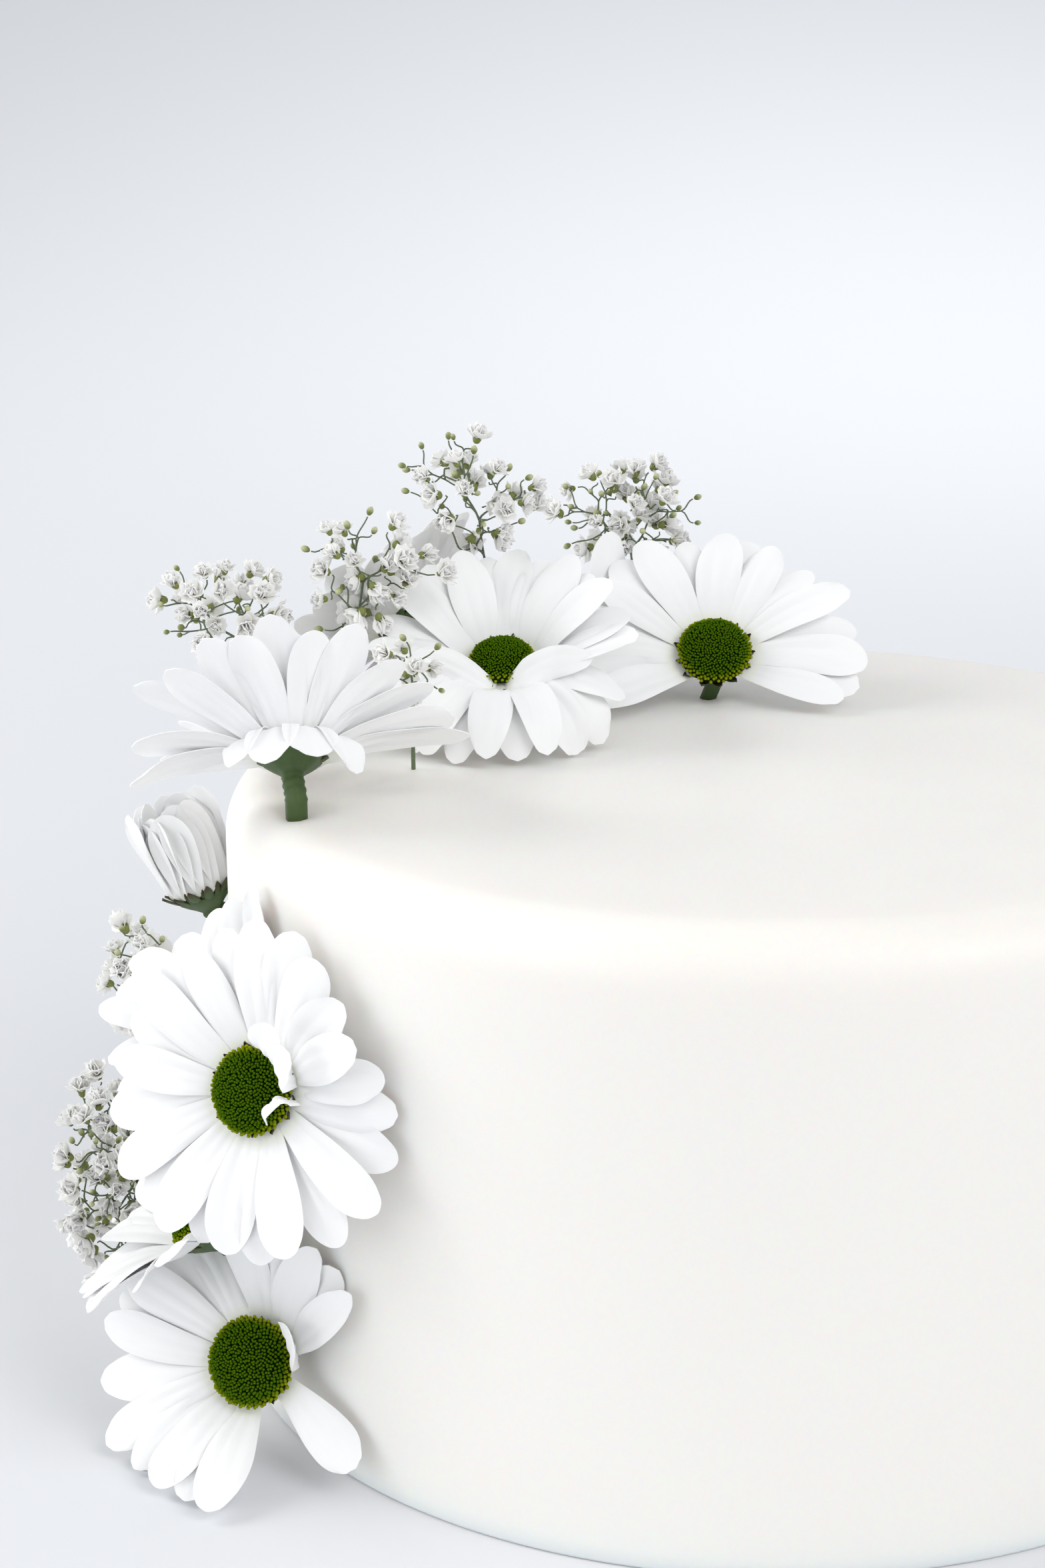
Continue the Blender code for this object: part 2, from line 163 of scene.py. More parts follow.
def read_head(name):
    """The head's own frame, from its disc: Z is where it faces, Y its top, the origin its hub."""
    shape = merged(name + "_centre")
    alike = [[other for other in shape.faces if other.normal.dot(face.normal) > 0.9999]
             for face in shape.faces]
    flat = max(alike, key=lambda faces: sum(face.calc_area() for face in faces))
    area = sum(face.calc_area() for face in flat)
    facing = -mean([face.normal for face in flat]).normalized()
    back = sum((face.calc_center_median() * face.calc_area() for face in flat), Vector()) / area
    right = Vector((0, 0, 1)).cross(facing).normalized()
    turn = Matrix((right, facing.cross(right), facing)).transposed().to_4x4()
    matrix = Matrix.Translation(back - facing * PETAL_LIFT) @ turn
    inward = matrix.inverted()
    radius = max((inward @ vert.co).xy.length for vert in shape.verts)
    shape.free()
    return Head(name, matrix, radius)


def read_petals(head):
    """The line of each CAD petal in the head's frame, from the hub's edge to the tip."""
    shape = merged(head.name + "_petals")
    shape.transform(head.matrix.inverted())
    hub = head.radius + HUB_MARGIN
    rank = {vert: 0 for vert in shape.verts
            if vert.co.xy.length < hub + 0.45 * MM and abs(vert.co.z) < 0.45 * MM}
    edge = list(rank)
    while edge:
        reached = []
        for vert in edge:
            for link in vert.link_edges:
                other = link.other_vert(vert)
                if other not in rank:
                    rank[other] = rank[vert] + 1
                    reached.append(other)
        edge = reached
    lines, seen = [], set()
    for vert in shape.verts:
        if rank[vert] == 0 or vert in seen:
            continue
        petal, waiting = [], [vert]
        seen.add(vert)
        while waiting:
            current = waiting.pop()
            petal.append(current)
            for link in current.link_edges:
                other = link.other_vert(current)
                if rank[other] and other not in seen:
                    seen.add(other)
                    waiting.append(other)
        rows = [[item.co for item in petal if rank[item] == row] for row in (1, 2, 3)]
        middles = [mean(row) for row in rows]
        middles[2] = mean(sorted(rows[2], key=lambda point: (point - middles[2]).length)[:2])
        step = math.tau / 12
        heading = round(math.atan2(middles[0].y, middles[0].x) / step) * step
        root = Vector((math.cos(heading), math.sin(heading), 0)) * hub
        lines.append((heading % math.tau, [root] + middles))
    shape.free()
    return sorted(lines, key=lambda line: line[0])


def read_foot(node_name):
    """Where a stem enters the icing, and the way out of the cake there."""
    shape = merged(node_name)
    points = [vert.co.copy() for vert in shape.verts]
    shape.free()
    lowest = min(point.z for point in points)
    if lowest > CAKE_HEIGHT * 0.9:
        end = mean([point for point in points if point.z < lowest + 0.2 * MM])
        return Vector((end.x, end.y, CAKE_HEIGHT)), Vector((0, 0, 1))
    inmost = min(point.xy.length for point in points)
    end = mean([point for point in points if point.xy.length < inmost + 0.1 * MM])
    out = Vector((end.x, end.y, 0)).normalized()
    return out * CAKE_RADIUS + Vector((0, 0, end.z)), out


def from_icing(point):
    """How far a point is from the icing, and the way out of it there."""
    across = Vector((point.x, point.y, 0))
    out = across.normalized() if across.length > 1e-6 else Vector((1, 0, 0))
    beside = across.length - (CAKE_RADIUS - EDGE_RADIUS)
    above = point.z - (CAKE_HEIGHT - EDGE_RADIUS)
    if beside > 0 and above > 0:
        way = out * beside + Vector((0, 0, above))
        return way.length - EDGE_RADIUS, way.normalized()
    if beside > above:
        return beside - EDGE_RADIUS, out
    return above - EDGE_RADIUS, Vector((0, 0, 1))


def kept_clear(point, room):
    """The point, moved out of the icing and off the ground where it is too near them."""
    distance, way = from_icing(point)
    if distance < room:
        point = point + way * (room - distance)
    return Vector((point.x, point.y, max(point.z, 1.2 * MM)))


# Building meshes and node trees

def node(tree, kind, inputs=None, **settings):
    """A new node, with values and links for its inputs by number or name."""
    made = tree.nodes.new(kind)
    for key, value in settings.items():
        setattr(made, key, value)
    for key, value in (inputs or {}).items():
        if isinstance(value, bpy.types.NodeSocket):
            tree.links.new(value, made.inputs[key])
        else:
            made.inputs[key].default_value = value
    return made


def geometry_tree(name, inputs):
    """A geometry tree with these named inputs, and the node that gives them."""
    tree = bpy.data.node_groups.new(name, "GeometryNodeTree")
    tree.interface.new_socket("Geometry", in_out="INPUT", socket_type="NodeSocketGeometry")
    for label, kind, default in inputs:
        made = tree.interface.new_socket(label, in_out="INPUT", socket_type="NodeSocket" + kind)
        if default is not None:
            made.default_value = default
    tree.interface.new_socket("Geometry", in_out="OUTPUT", socket_type="NodeSocketGeometry")
    return tree, tree.nodes.new("NodeGroupInput").outputs


def close_tree(tree, geometry, material):
    """Ends a tree: real geometry, smooth, with its material."""
    real = node(tree, "GeometryNodeRealizeInstances", {0: geometry})
    smooth = node(tree, "GeometryNodeSetShadeSmooth", {0: real.outputs[0]})
    painted = node(tree, "GeometryNodeSetMaterial", {0: smooth.outputs[0], 2: material})
    node(tree, "NodeGroupOutput", {0: painted.outputs[0]})
    return tree


def named(tree, name, kind):
    return node(tree, "GeometryNodeInputNamedAttribute", {0: name}, data_type=kind).outputs[0]


def maths(tree, operation, *values):
    return node(tree, "ShaderNodeMath", dict(enumerate(values)), operation=operation).outputs[0]


def disc_tree():
    """Florets packed on a dome, each turned by the golden angle from the last."""
    tree, given = geometry_tree("Disc Florets", [
        ("Count", "Int", 240), ("Radius", "Float", 7 * MM), ("Height", "Float", 4 * MM),
        ("Rim", "Float", 1 * MM), ("Floret", "Object", None), ("Material", "Material", None)])
    index = node(tree, "GeometryNodeInputIndex").outputs[0]
    middle = maths(tree, "ADD", index, 0.5)
    share = maths(tree, "SQRT", maths(tree, "DIVIDE", middle, given["Count"]))
    angle = maths(tree, "MULTIPLY", index, math.pi * (3 - math.sqrt(5)))
    reach = maths(tree, "MULTIPLY", share, given["Radius"])
    x = maths(tree, "MULTIPLY", reach, maths(tree, "COSINE", angle))
    y = maths(tree, "MULTIPLY", reach, maths(tree, "SINE", angle))
    rise = maths(tree, "SUBTRACT", given["Height"], given["Rim"])
    fall = maths(tree, "SQRT", maths(tree, "SUBTRACT", 1.0, maths(tree, "POWER", share, 2.4)))
    z = maths(tree, "ADD", given["Rim"], maths(tree, "MULTIPLY", rise, fall))
    place = node(tree, "ShaderNodeCombineXYZ", {0: x, 1: y, 2: z}).outputs[0]
    shift = node(tree, "FunctionNodeRandomValue", {0: (-0.15 * MM,) * 3, 1: (0.15 * MM,) * 3, 8: 5},
                 data_type="FLOAT_VECTOR").outputs[0]
    place = node(tree, "ShaderNodeVectorMath", {0: place, 1: shift}, operation="ADD").outputs[0]
    points = node(tree, "GeometryNodePoints", {0: given["Count"], 1: place}).outputs[0]
    marked = node(tree, "GeometryNodeStoreNamedAttribute", {0: points, 2: "share", 3: share},
                  data_type="FLOAT", domain="POINT").outputs[0]
    lean = maths(tree, "MULTIPLY", maths(tree, "POWER", share, 3.0), 1.9)
    facing = node(tree, "ShaderNodeCombineXYZ", {
        0: maths(tree, "MULTIPLY", maths(tree, "COSINE", angle), lean),
        1: maths(tree, "MULTIPLY", maths(tree, "SINE", angle), lean), 2: 1.0}).outputs[0]
    turn = node(tree, "FunctionNodeAlignRotationToVector", {2: facing}, axis="Z").outputs[0]
    spacing = maths(tree, "MULTIPLY", given["Radius"], maths(tree, "SQRT", maths(
        tree, "DIVIDE", math.pi, given["Count"])))
    size = maths(tree, "MULTIPLY", spacing, maths(tree, "ADD", 0.86, maths(
        tree, "MULTIPLY", maths(tree, "POWER", share, 6.0), 0.45)))
    shape = node(tree, "GeometryNodeObjectInfo", {0: given["Floret"]}).outputs["Geometry"]
    copies = node(tree, "GeometryNodeInstanceOnPoints",
                  {0: marked, 2: shape, 5: turn, 6: size}).outputs[0]
    return close_tree(tree, copies, given["Material"])


def copies_tree():
    """A copy of an object on each point, by the point's own facing, along and size."""
    tree, given = geometry_tree("Placed Copies", [
        ("Part", "Object", None), ("Material", "Material", None)])
    facing = named(tree, "facing", "FLOAT_VECTOR")
    along = named(tree, "along", "FLOAT_VECTOR")
    upright = node(tree, "FunctionNodeAlignRotationToVector", {2: facing}, axis="Z").outputs[0]
    turned = node(tree, "FunctionNodeAlignRotationToVector", {0: upright, 2: along},
                  axis="X", pivot_axis="Z").outputs[0]
    points = node(tree, "GeometryNodeMeshToPoints", {0: given["Geometry"]}).outputs[0]
    shape = node(tree, "GeometryNodeObjectInfo", {0: given["Part"]}).outputs["Geometry"]
    copies = node(tree, "GeometryNodeInstanceOnPoints", {
        0: points, 2: shape, 5: turned, 6: named(tree, "size", "FLOAT")}).outputs[0]
    return close_tree(tree, copies, given["Material"])


def stalk_tree():
    """A round stalk along every run of edges, as thick as its points say."""
    tree, given = geometry_tree("Stalks", [
        ("Sides", "Int", 6), ("Material", "Material", None)])
    curve = node(tree, "GeometryNodeMeshToCurve", {0: given["Geometry"]}).outputs[0]
    ring = node(tree, "GeometryNodeCurvePrimitiveCircle", {0: given["Sides"], 4: 1.0}).outputs[0]
    mesh = node(tree, "GeometryNodeCurveToMesh", {
        0: curve, 1: ring, 2: named(tree, "thick", "FLOAT"), 3: True}).outputs[0]
    return close_tree(tree, mesh, given["Material"])


def grown(name, mesh, tree, values):
    """The plain mesh that a geometry tree makes from a mesh and these input values."""
    source = bpy.data.objects.new(name + "_source", mesh)
    bpy.context.scene.collection.objects.link(source)
    step = source.modifiers.new(tree.name, "NODES")
    step.node_group = tree
    for item in tree.interface.items_tree:
        if item.in_out == "INPUT" and item.name in values:
            step[item.identifier] = values[item.name]
    bpy.context.view_layer.update()
    graph = bpy.context.evaluated_depsgraph_get()
    made = bpy.data.meshes.new_from_object(source.evaluated_get(graph))
    source.modifiers.clear()
    bpy.data.objects.remove(source)
    if not made.polygons:
        raise RuntimeError(f"{tree.name} made nothing for {name}")
    made.name = name
    return made


def helper(name, mesh):
    """An object that a tree copies, and that is removed once the copies are made."""
    made = bpy.data.objects.new(name, mesh)
    bpy.context.scene.collection.objects.link(made)
    return made


def plain_mesh(name, points, faces):
    """A smooth mesh from points and faces."""
    mesh = bpy.data.meshes.new(name)
    mesh.from_pydata(points, [], faces)
    mesh.polygons.foreach_set("use_smooth", [True] * len(faces))
    return mesh


def tube_faces(rings, sides):
    """Quads from each ring of points to the next, and a face to close each end."""
    faces = []
    for row in range(rings - 1):
        for side in range(sides):
            after = (side + 1) % sides
            faces.append((row * sides + side, row * sides + after,
                          (row + 1) * sides + after, (row + 1) * sides + side))
    faces.append(tuple(range(sides - 1, -1, -1)))
    faces.append(tuple((rings - 1) * sides + side for side in range(sides)))
    return faces


def store(mesh, label, values):
    """One number for each point of a mesh, under a name that a node can read."""
    mesh.attributes.new(label, "FLOAT", "POINT").data.foreach_set("value", values)


def smoothed(mesh):
    mesh.polygons.foreach_set("use_smooth", [True] * len(mesh.polygons))
    return mesh


def point_mesh(name, rows):
    """Loose points with the facing, along and size that a copy on each of them takes."""
    mesh = bpy.data.meshes.new(name)
    mesh.from_pydata([row[0] for row in rows], [], [])
    for index, label in ((1, "facing"), (2, "along")):
        values = mesh.attributes.new(label, "FLOAT_VECTOR", "POINT")
        values.data.foreach_set("vector", [part for row in rows for part in row[index]])
    store(mesh, "size", [row[3] for row in rows])
    return mesh


def add_piece(name, mesh, nodes, material=None):
    """A finished piece at the origin, riding on the cake in place of its CAD nodes."""
    made = bpy.data.objects.new(name, mesh)
    bpy.context.scene.collection.objects.link(made)
    if material:
        mesh.materials.clear()
        mesh.materials.append(material)
    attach(made, BODY)
    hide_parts(*nodes)
    return made


class Shell:
    """Collects thin closed sheets into one mesh, with marks across and along each sheet."""

    def __init__(self):
        self.points = []
        self.faces = []
        self.marks = []
        self.rims = set()

    def add(self, upper, lower, marks):
        rows, columns = len(upper), len(upper[0])
        start = len(self.points)
        for grid in (upper, lower):
            for row in grid:
                self.points.extend(row)
            for row in marks:
                self.marks.extend(row)
        under = rows * columns
        for row in range(rows - 1):
            for column in range(columns - 1):
                first = start + row * columns + column
                quad = (first, first + columns, first + columns + 1, first + 1)
                self.faces.append(quad)
                self.faces.append(tuple(index + under for index in reversed(quad)))
        border = [start + row * columns for row in range(rows)]
        border += [start + (rows - 1) * columns + column for column in range(1, columns)]
        border += [start + row * columns + columns - 1 for row in range(rows - 2, -1, -1)]
        border += [start + column for column in range(columns - 2, 0, -1)]
        for first, second in zip(border, border[1:] + border[:1]):
            self.faces.append((first, first + under, second + under, second))
            self.rims.add((min(first, second), max(first, second)))
            self.rims.add((min(first, second) + under, max(first, second) + under))

    def mesh(self, name):
        made = bpy.data.meshes.new(name)
        made.from_pydata(self.points, [], self.faces)
        layer = made.uv_layers.new(name="petal")
        marks = [self.marks[loop.vertex_index] for loop in made.loops]
        layer.data.foreach_set("uv", [part for mark in marks for part in mark])
        made.polygons.foreach_set("use_smooth", [True] * len(made.polygons))
        for edge in made.edges:
            edge.use_edge_sharp = tuple(sorted(edge.vertices)) in self.rims
        return made


class Path:
    """A smooth line through points, read by share of its length."""

    def __init__(self, points):
        self.points = [point.copy() for point in points]
        self.knots = [0.0]
        for first, second in zip(points, points[1:]):
            self.knots.append(self.knots[-1] + (second - first).length)
        self.length = self.knots[-1]
        last = len(points) - 1
        self.slopes = []
        for index in range(last + 1):
            low, high = max(index - 1, 0), min(index + 1, last)
            self.slopes.append((points[high] - points[low]) / (self.knots[high] - self.knots[low]))

    def at(self, share):
        target = share * self.length
        index = 0
        while index < len(self.points) - 2 and target > self.knots[index + 1]:
            index += 1
        span = self.knots[index + 1] - self.knots[index]
        t = (target - self.knots[index]) / span
        return (self.points[index] * (2 * t ** 3 - 3 * t ** 2 + 1)
                + self.slopes[index] * span * (t ** 3 - 2 * t ** 2 + t)
                + self.points[index + 1] * (3 * t ** 2 - 2 * t ** 3)
                + self.slopes[index + 1] * span * (t ** 3 - t ** 2))

    def way(self, share):
        return (self.at(share + 0.01) - self.at(share - 0.01)).normalized()


# Materials

def new_material(name, colour, roughness):
    made = bpy.data.materials.new(name)
    made.use_nodes = True
    shader = made.node_tree.nodes["Principled BSDF"]
    shader.inputs["Base Color"].default_value = (*colour, 1.0)
    shader.inputs["Roughness"].default_value = roughness
    made.diffuse_color = (*colour, 1.0)
    return made, made.node_tree, shader


def ramp(tree, factor, stops):
    """A colour ramp through (place, colour) stops."""
    made = node(tree, "ShaderNodeValToRGB", {0: factor})
    elements = made.color_ramp.elements
    while len(elements) < len(stops):
        elements.new(0.5)
    for element, (place, colour) in zip(elements, stops):
        element.position = place
        element.color = (*colour, 1.0)
    return made.outputs[0]


def grain(tree, vector, scale, detail=3.0, stretch=(1, 1, 1)):
    """Noise on a vector, stretched by a Mapping node."""
    mapped = node(tree, "ShaderNodeMapping", {0: vector, 3: stretch}).outputs[0]
    return node(tree, "ShaderNodeTexNoise",
                {"Vector": mapped, "Scale": scale, "Detail": detail}).outputs[0]


def mix(tree, factor, first, second, blend="MIX"):
    return node(tree, "ShaderNodeMix", {0: factor, 6: first, 7: second},
                data_type="RGBA", blend_type=blend).outputs[2]


def bump(tree, shader, height, strength, distance):
    made = node(tree, "ShaderNodeBump",
                {"Height": height, "Strength": strength, "Distance": distance})
    tree.links.new(made.outputs[0], shader.inputs["Normal"])


def glow_through(shader, weight, radius):
    """Light that sinks into soft food or a thin petal, by how far each colour goes."""
    shader.inputs["Subsurface Weight"].default_value = weight
    shader.inputs["Subsurface Radius"].default_value = radius
    shader.inputs["Subsurface Scale"].default_value = 1.0


def icing_material(settings):
    made, tree, shader = new_material("icing", settings.colour, 0.48)
    place = node(tree, "ShaderNodeTexCoord").outputs["Object"]
    broad = grain(tree, place, 16.0, 2.0)
    colour = mix(tree, broad, (*settings.colour, 1), (*settings.shade, 1))
    tree.links.new(colour, shader.inputs["Base Color"])
    tree.links.new(ramp(tree, grain(tree, place, 90.0), [(0.3, (0.42,) * 3), (0.7, (0.56,) * 3)]),
                   shader.inputs["Roughness"])
    fine = grain(tree, place, 1400.0, 2.0)
    drawn = grain(tree, place, 60.0, 2.0, (1, 1, 9))
    height = maths(tree, "ADD", maths(tree, "MULTIPLY", fine, 0.12), drawn)
    bump(tree, shader, height, 0.2, 0.15 * MM)
    glow_through(shader, 0.55, (8.0 * MM, 4.2 * MM, 2.0 * MM))
    return made


def petal_material(settings):
    """White, green-yellow at the root, with fine ribs along the petal."""
    made, tree, shader = new_material("petals", settings.petal_colour, 0.5)
    marks = node(tree, "ShaderNodeUVMap", uv_map="petal").outputs[0]
    parts = node(tree, "ShaderNodeSeparateXYZ", {0: marks}).outputs
    streaks = grain(tree, marks, 1.0, 3.0, (34, 1.6, 1))
    white = mix(tree, streaks, (*settings.petal_colour, 1), (*settings.petal_shade, 1))
    root = ramp(tree, parts[1], [(0.14, (0.3,) * 3), (0.185, (0, 0, 0))])
    tree.links.new(mix(tree, root, white, (*settings.root_colour, 1)), shader.inputs["Base Color"])
    bump(tree, shader, streaks, 0.2, 0.1 * MM)
    shader.inputs["Specular IOR Level"].default_value = 0.25
    glow_through(shader, 0.12, (1.4 * MM, 1.3 * MM, 1.2 * MM))
    return made


def disc_material(settings):
    """Green florets with painted shade on their low parts and on the bed under them, yellower at
    the rim.
    """
    made, tree, shader = new_material("flower_centres", settings.disc_colour, 0.8)
    share = node(tree, "ShaderNodeAttribute", attribute_name="share").outputs["Fac"]
    tip = node(tree, "ShaderNodeAttribute", attribute_name="tip").outputs["Fac"]
    outward = ramp(tree, share, [(0.0, settings.disc_colour), (0.87, settings.disc_colour),
                                 (0.98, settings.rim_colour), (1.0, settings.rim_colour)])
    # Painted shade: the low part of each floret, and the bed under the florets (which has no tip
    # value), take the near-black disc colour where the florets shade each other.
    shaded = mix(tree, ramp(tree, tip, [(0.15, (1, 1, 1)), (0.75, (0, 0, 0))]), outward,
                 (*settings.disc_painted_shade, 1))
    tree.links.new(shaded, shader.inputs["Base Color"])
    shader.inputs["Specular IOR Level"].default_value = 0.04
    return made


def stem_material(settings):
    made, tree, shader = new_material("stems", settings.stem_colour, 0.5)
    place = node(tree, "ShaderNodeTexCoord").outputs["Object"]
    flecks = grain(tree, place, 420.0, 3.0)
    tip = node(tree, "ShaderNodeAttribute", attribute_name="tip").outputs["Fac"]
    green = mix(tree, flecks, (*settings.stem_colour, 1), (*settings.stem_shade, 1))
    browned = ramp(tree, tip, [(0.55, (0, 0, 0)), (0.95, (1, 1, 1))])
    tree.links.new(mix(tree, browned, green, (*settings.bract_tip, 1)), shader.inputs["Base Color"])
    bump(tree, shader, flecks, 0.4, 0.2 * MM)
    return made


def tipped_material(name, base, tip_colour, stops, roughness, depth=0.0):
    """A small part that changes colour from its base to its tip, with a little grain."""
    made, tree, shader = new_material(name, base, roughness)
    tip = node(tree, "ShaderNodeAttribute", attribute_name="tip").outputs["Fac"]
    place = node(tree, "ShaderNodeTexCoord").outputs["Object"]
    flecks = grain(tree, place, 700.0, 2.0)
    spread = maths(tree, "MULTIPLY", maths(tree, "SUBTRACT", flecks, 0.5), 0.5)
    low, high = stops
    colours = ramp(tree, maths(tree, "ADD", tip, spread), [(low, base), (high, tip_colour)])
    tree.links.new(colours, shader.inputs["Base Color"])
    if depth:
        glow_through(shader, 0.6, (depth, depth, depth * 0.9))
    return made


# Settings

def colour_property(name, description, default):
    return FloatVectorProperty(name=name, description=description, default=default,
                               subtype="COLOR", size=3, min=0.0, max=1.0)


def length_property(name, description, default):
    return FloatProperty(name=name, description=description, default=default,
                         unit="LENGTH", precision=5, min=0.0)


def power_property(name, description, default):
    return FloatProperty(name=name, description=description, default=default,
                         unit="POWER", min=0.0)


class IcingSettings(PropertyGroup):
    unevenness: length_property("Unevenness", "Height of the icing's soft swells", 0.3 * MM)
    press: length_property("Press", "How much the icing gives around a stem", 0.45 * MM)
    colour: colour_property("Colour", "The icing's main colour", (0.93, 0.908, 0.872))
    shade: colour_property("Shade", "The icing's slightly darker patches", (0.91, 0.886, 0.846))


class DaisySettings(PropertyGroup):
    petal_width: length_property("Petal width", "Half the width of a petal", 4.3 * MM)
    petal_thickness: length_property("Petal thickness", "Thickness in the middle", 0.32 * MM)
    whorl_drop: length_property("Whorl drop", "How far the rear petals sit behind", 0.6 * MM)
    disc_count: IntProperty(name="Disc florets", description="Florets in one disc",
                            default=640, min=20)
    petal_colour: colour_property("Petal", "Main petal colour", (0.97, 0.972, 0.975))
    petal_shade: colour_property("Petal shade", "Petals between their ribs", (0.945, 0.95, 0.957))
    root_colour: colour_property("Petal root", "Petal colour next to the disc", (0.86, 0.90, 0.66))
    disc_colour: colour_property("Disc", "Florets in the disc", (0.062, 0.136, 0.001))
    # Painted shade: near-black colour laid on the low parts of the disc florets and on the bed
    # under them.
    disc_painted_shade: colour_property("Disc shade", "Between the florets", (0.008, 0.026, 0.0005))
    rim_colour: colour_property("Rim", "Florets at the disc's rim", (0.25, 0.29, 0.004))
    stem_colour: colour_property("Stem", "Stem and bracts", (0.035, 0.075, 0.012))
    stem_shade: colour_property("Stem shade", "Lighter patches of the stem", (0.06, 0.11, 0.025))
    bract_tip: colour_property("Bract tip", "Browned tips of the bracts", (0.05, 0.03, 0.01))


class SpraySettings(PropertyGroup):
    spacing: length_property("Spacing", "Least distance between florets", 4.4 * MM)
    floret_size: length_property("Floret size", "Radius of an open floret", 3.3 * MM)
    bud_size: length_property("Bud size", "Radius of a bud", 0.66 * MM)
    bud_share: FloatProperty(name="Bud share", description="Share of the ends that are buds",
                             default=0.36, min=0.0, max=1.0, subtype="FACTOR")
    stalk_radius: length_property("Stalk radius", "Radius of a spray's main stalk", 0.36 * MM)
    floret_colour: colour_property("Floret", "Open florets", (0.985, 0.98, 0.955))
    floret_root: colour_property("Floret root", "Deep inside a floret", (0.95, 0.95, 0.85))
    calyx_colour: colour_property("Calyx", "Green cup under a floret", (0.21, 0.24, 0.06))
    calyx_tip: colour_property("Calyx tip", "Dark teeth of the calyx", (0.06, 0.045, 0.02))
    bud_colour: colour_property("Bud", "Lower part of a bud", (0.17, 0.20, 0.05))
    bud_tip: colour_property("Bud tip", "Paler top of a bud", (0.50, 0.52, 0.30))
    stalk_colour: colour_property("Stalk", "Thin stalks", (0.12, 0.155, 0.085))
    stalk_tip: colour_property("Stalk shade", "Darker parts of the stalks", (0.05, 0.055, 0.04))


class StageSettings(PropertyGroup):
    floor_colour: colour_property("Floor", "Floor and backdrop", (0.78, 0.795, 0.825))
    key: power_property("Window light", "Power of the light from the left", 8.4)
    side: power_property("Side light", "Power of the low light from the front left", 3.0)
    back: power_property("Back light", "Power of the light over the backdrop", 1.65)
    left: power_property("Left light", "Power of the low light from the left", 3.6)
    fill: power_property("Front light", "Power of the light from the front right", 12.5)
    sky: FloatProperty(name="Room light", description="Strength of the light from all round",
                       default=0.62, min=0.0)


# Parts that are copied

def bud_shape(name, profile, sides, bulge=0.0):
    """A small turned part, closed at both ends, with its height stored as tip."""
    mesh = bpy.data.meshes.new(name)
    points, tips = [], []
    top = max(height for _, height in profile)
    low = min(height for _, height in profile)
    for radius, height in profile:
        for side in range(sides):
            angle = math.tau * side / sides
            reach = radius * (1 + bulge * math.cos(angle * sides / 2))
            points.append((reach * math.cos(angle), reach * math.sin(angle), height))
            tips.append((height - low) / (top - low))
    mesh.from_pydata(points, [], tube_faces(len(profile), sides))
    store(mesh, "tip", tips)
    return mesh


def leaf_grids(length, width, curve, lift, notch, columns, rows, thickness):
    """Upper and lower grids of a small leaf or petal along X, and its share of the way out."""
    upper, lower, shares = [], [], []
    for row in range(rows + 1):
        v = row / rows
        half = width * (0.32 + 0.68 * math.sin(math.pi * min(v * 0.62 + 0.1, 1)))
        if v > 0.99:
            half *= 0.72
        line = []
        for column in range(columns + 1):
            u = column / columns * 2 - 1
            bend = curve * v
            x = length * v * math.cos(bend) - notch * v ** 4 * (1 - abs(u)) * length
            z = length * v * math.sin(bend) + lift * u * u * width
            line.append(Vector((x, half * u, z)))
        upper.append([point + Vector((0, 0, thickness / 2)) for point in line])
        lower.append([point - Vector((0, 0, thickness / 2)) for point in line])
        shares.append([(v, v)] * (columns + 1))
    return upper, lower, shares


def sheets_mesh(name, shell):
    """The sheets as a mesh whose share of the way out is stored as tip."""
    made = shell.mesh(name)
    store(made, "tip", [mark[1] for mark in shell.marks])
    return made


def bract_mesh():
    """One pointed bract along X, hollow towards the head."""
    shell = Shell()
    upper, lower, shares = [], [], []
    for row in range(6):
        v = row / 5
        half = 0.22 * (1 - v ** 2.6) * (0.75 + 0.5 * v) + 0.012
        line = [Vector((v, half * u, -0.16 * v * v - 0.05 * abs(u))) for u in (-1, -0.5, 0, 0.5, 1)]
        upper.append([point + Vector((0, 0, 0.03)) for point in line])
        lower.append([point - Vector((0, 0, 0.03)) for point in line])
        shares.append([(v, max(v, abs(u) * 0.8)) for u in (-1, -0.5, 0, 0.5, 1)])
    shell.add(upper, lower, shares)
    return sheets_mesh("bract", shell)


def floret_mesh(name, seed, openness):
    """A double floret: whorls of notched petals round a closed heart, one unit in radius."""
    rng = random.Random(seed)
    shell = Shell()
    whorls = ((5, 0.95, 0.44, 12 + 34 * (1 - openness), -0.05),
              (5, 0.82, 0.40, 42, 0.05), (4, 0.66, 0.34, 66, 0.12), (3, 0.5, 0.26, 82, 0.16))
    for count, length, width, tilt, height in whorls:
        start = rng.uniform(0, math.tau)
        for index in range(count):
            grids = leaf_grids(length * rng.uniform(0.88, 1.08), width, rng.uniform(0.1, 0.55),
                               rng.uniform(-0.5, 0.7), rng.uniform(0.08, 0.22), 4, 3, 0.05)
            heading = start + math.tau * index / count + rng.uniform(-0.2, 0.2)
            turn = (Matrix.Translation((0, 0, height))
                    @ Matrix.Rotation(heading, 4, "Z")
                    @ Matrix.Rotation(-math.radians(tilt + rng.uniform(-12, 12)), 4, "Y")
                    @ Matrix.Rotation(rng.uniform(-0.35, 0.35), 4, "X"))
            upper, lower = ([[turn @ point for point in row] for row in grid] for grid in grids[:2])
            shell.add(upper, lower, grids[2])
    return sheets_mesh(name, shell)


# The icing

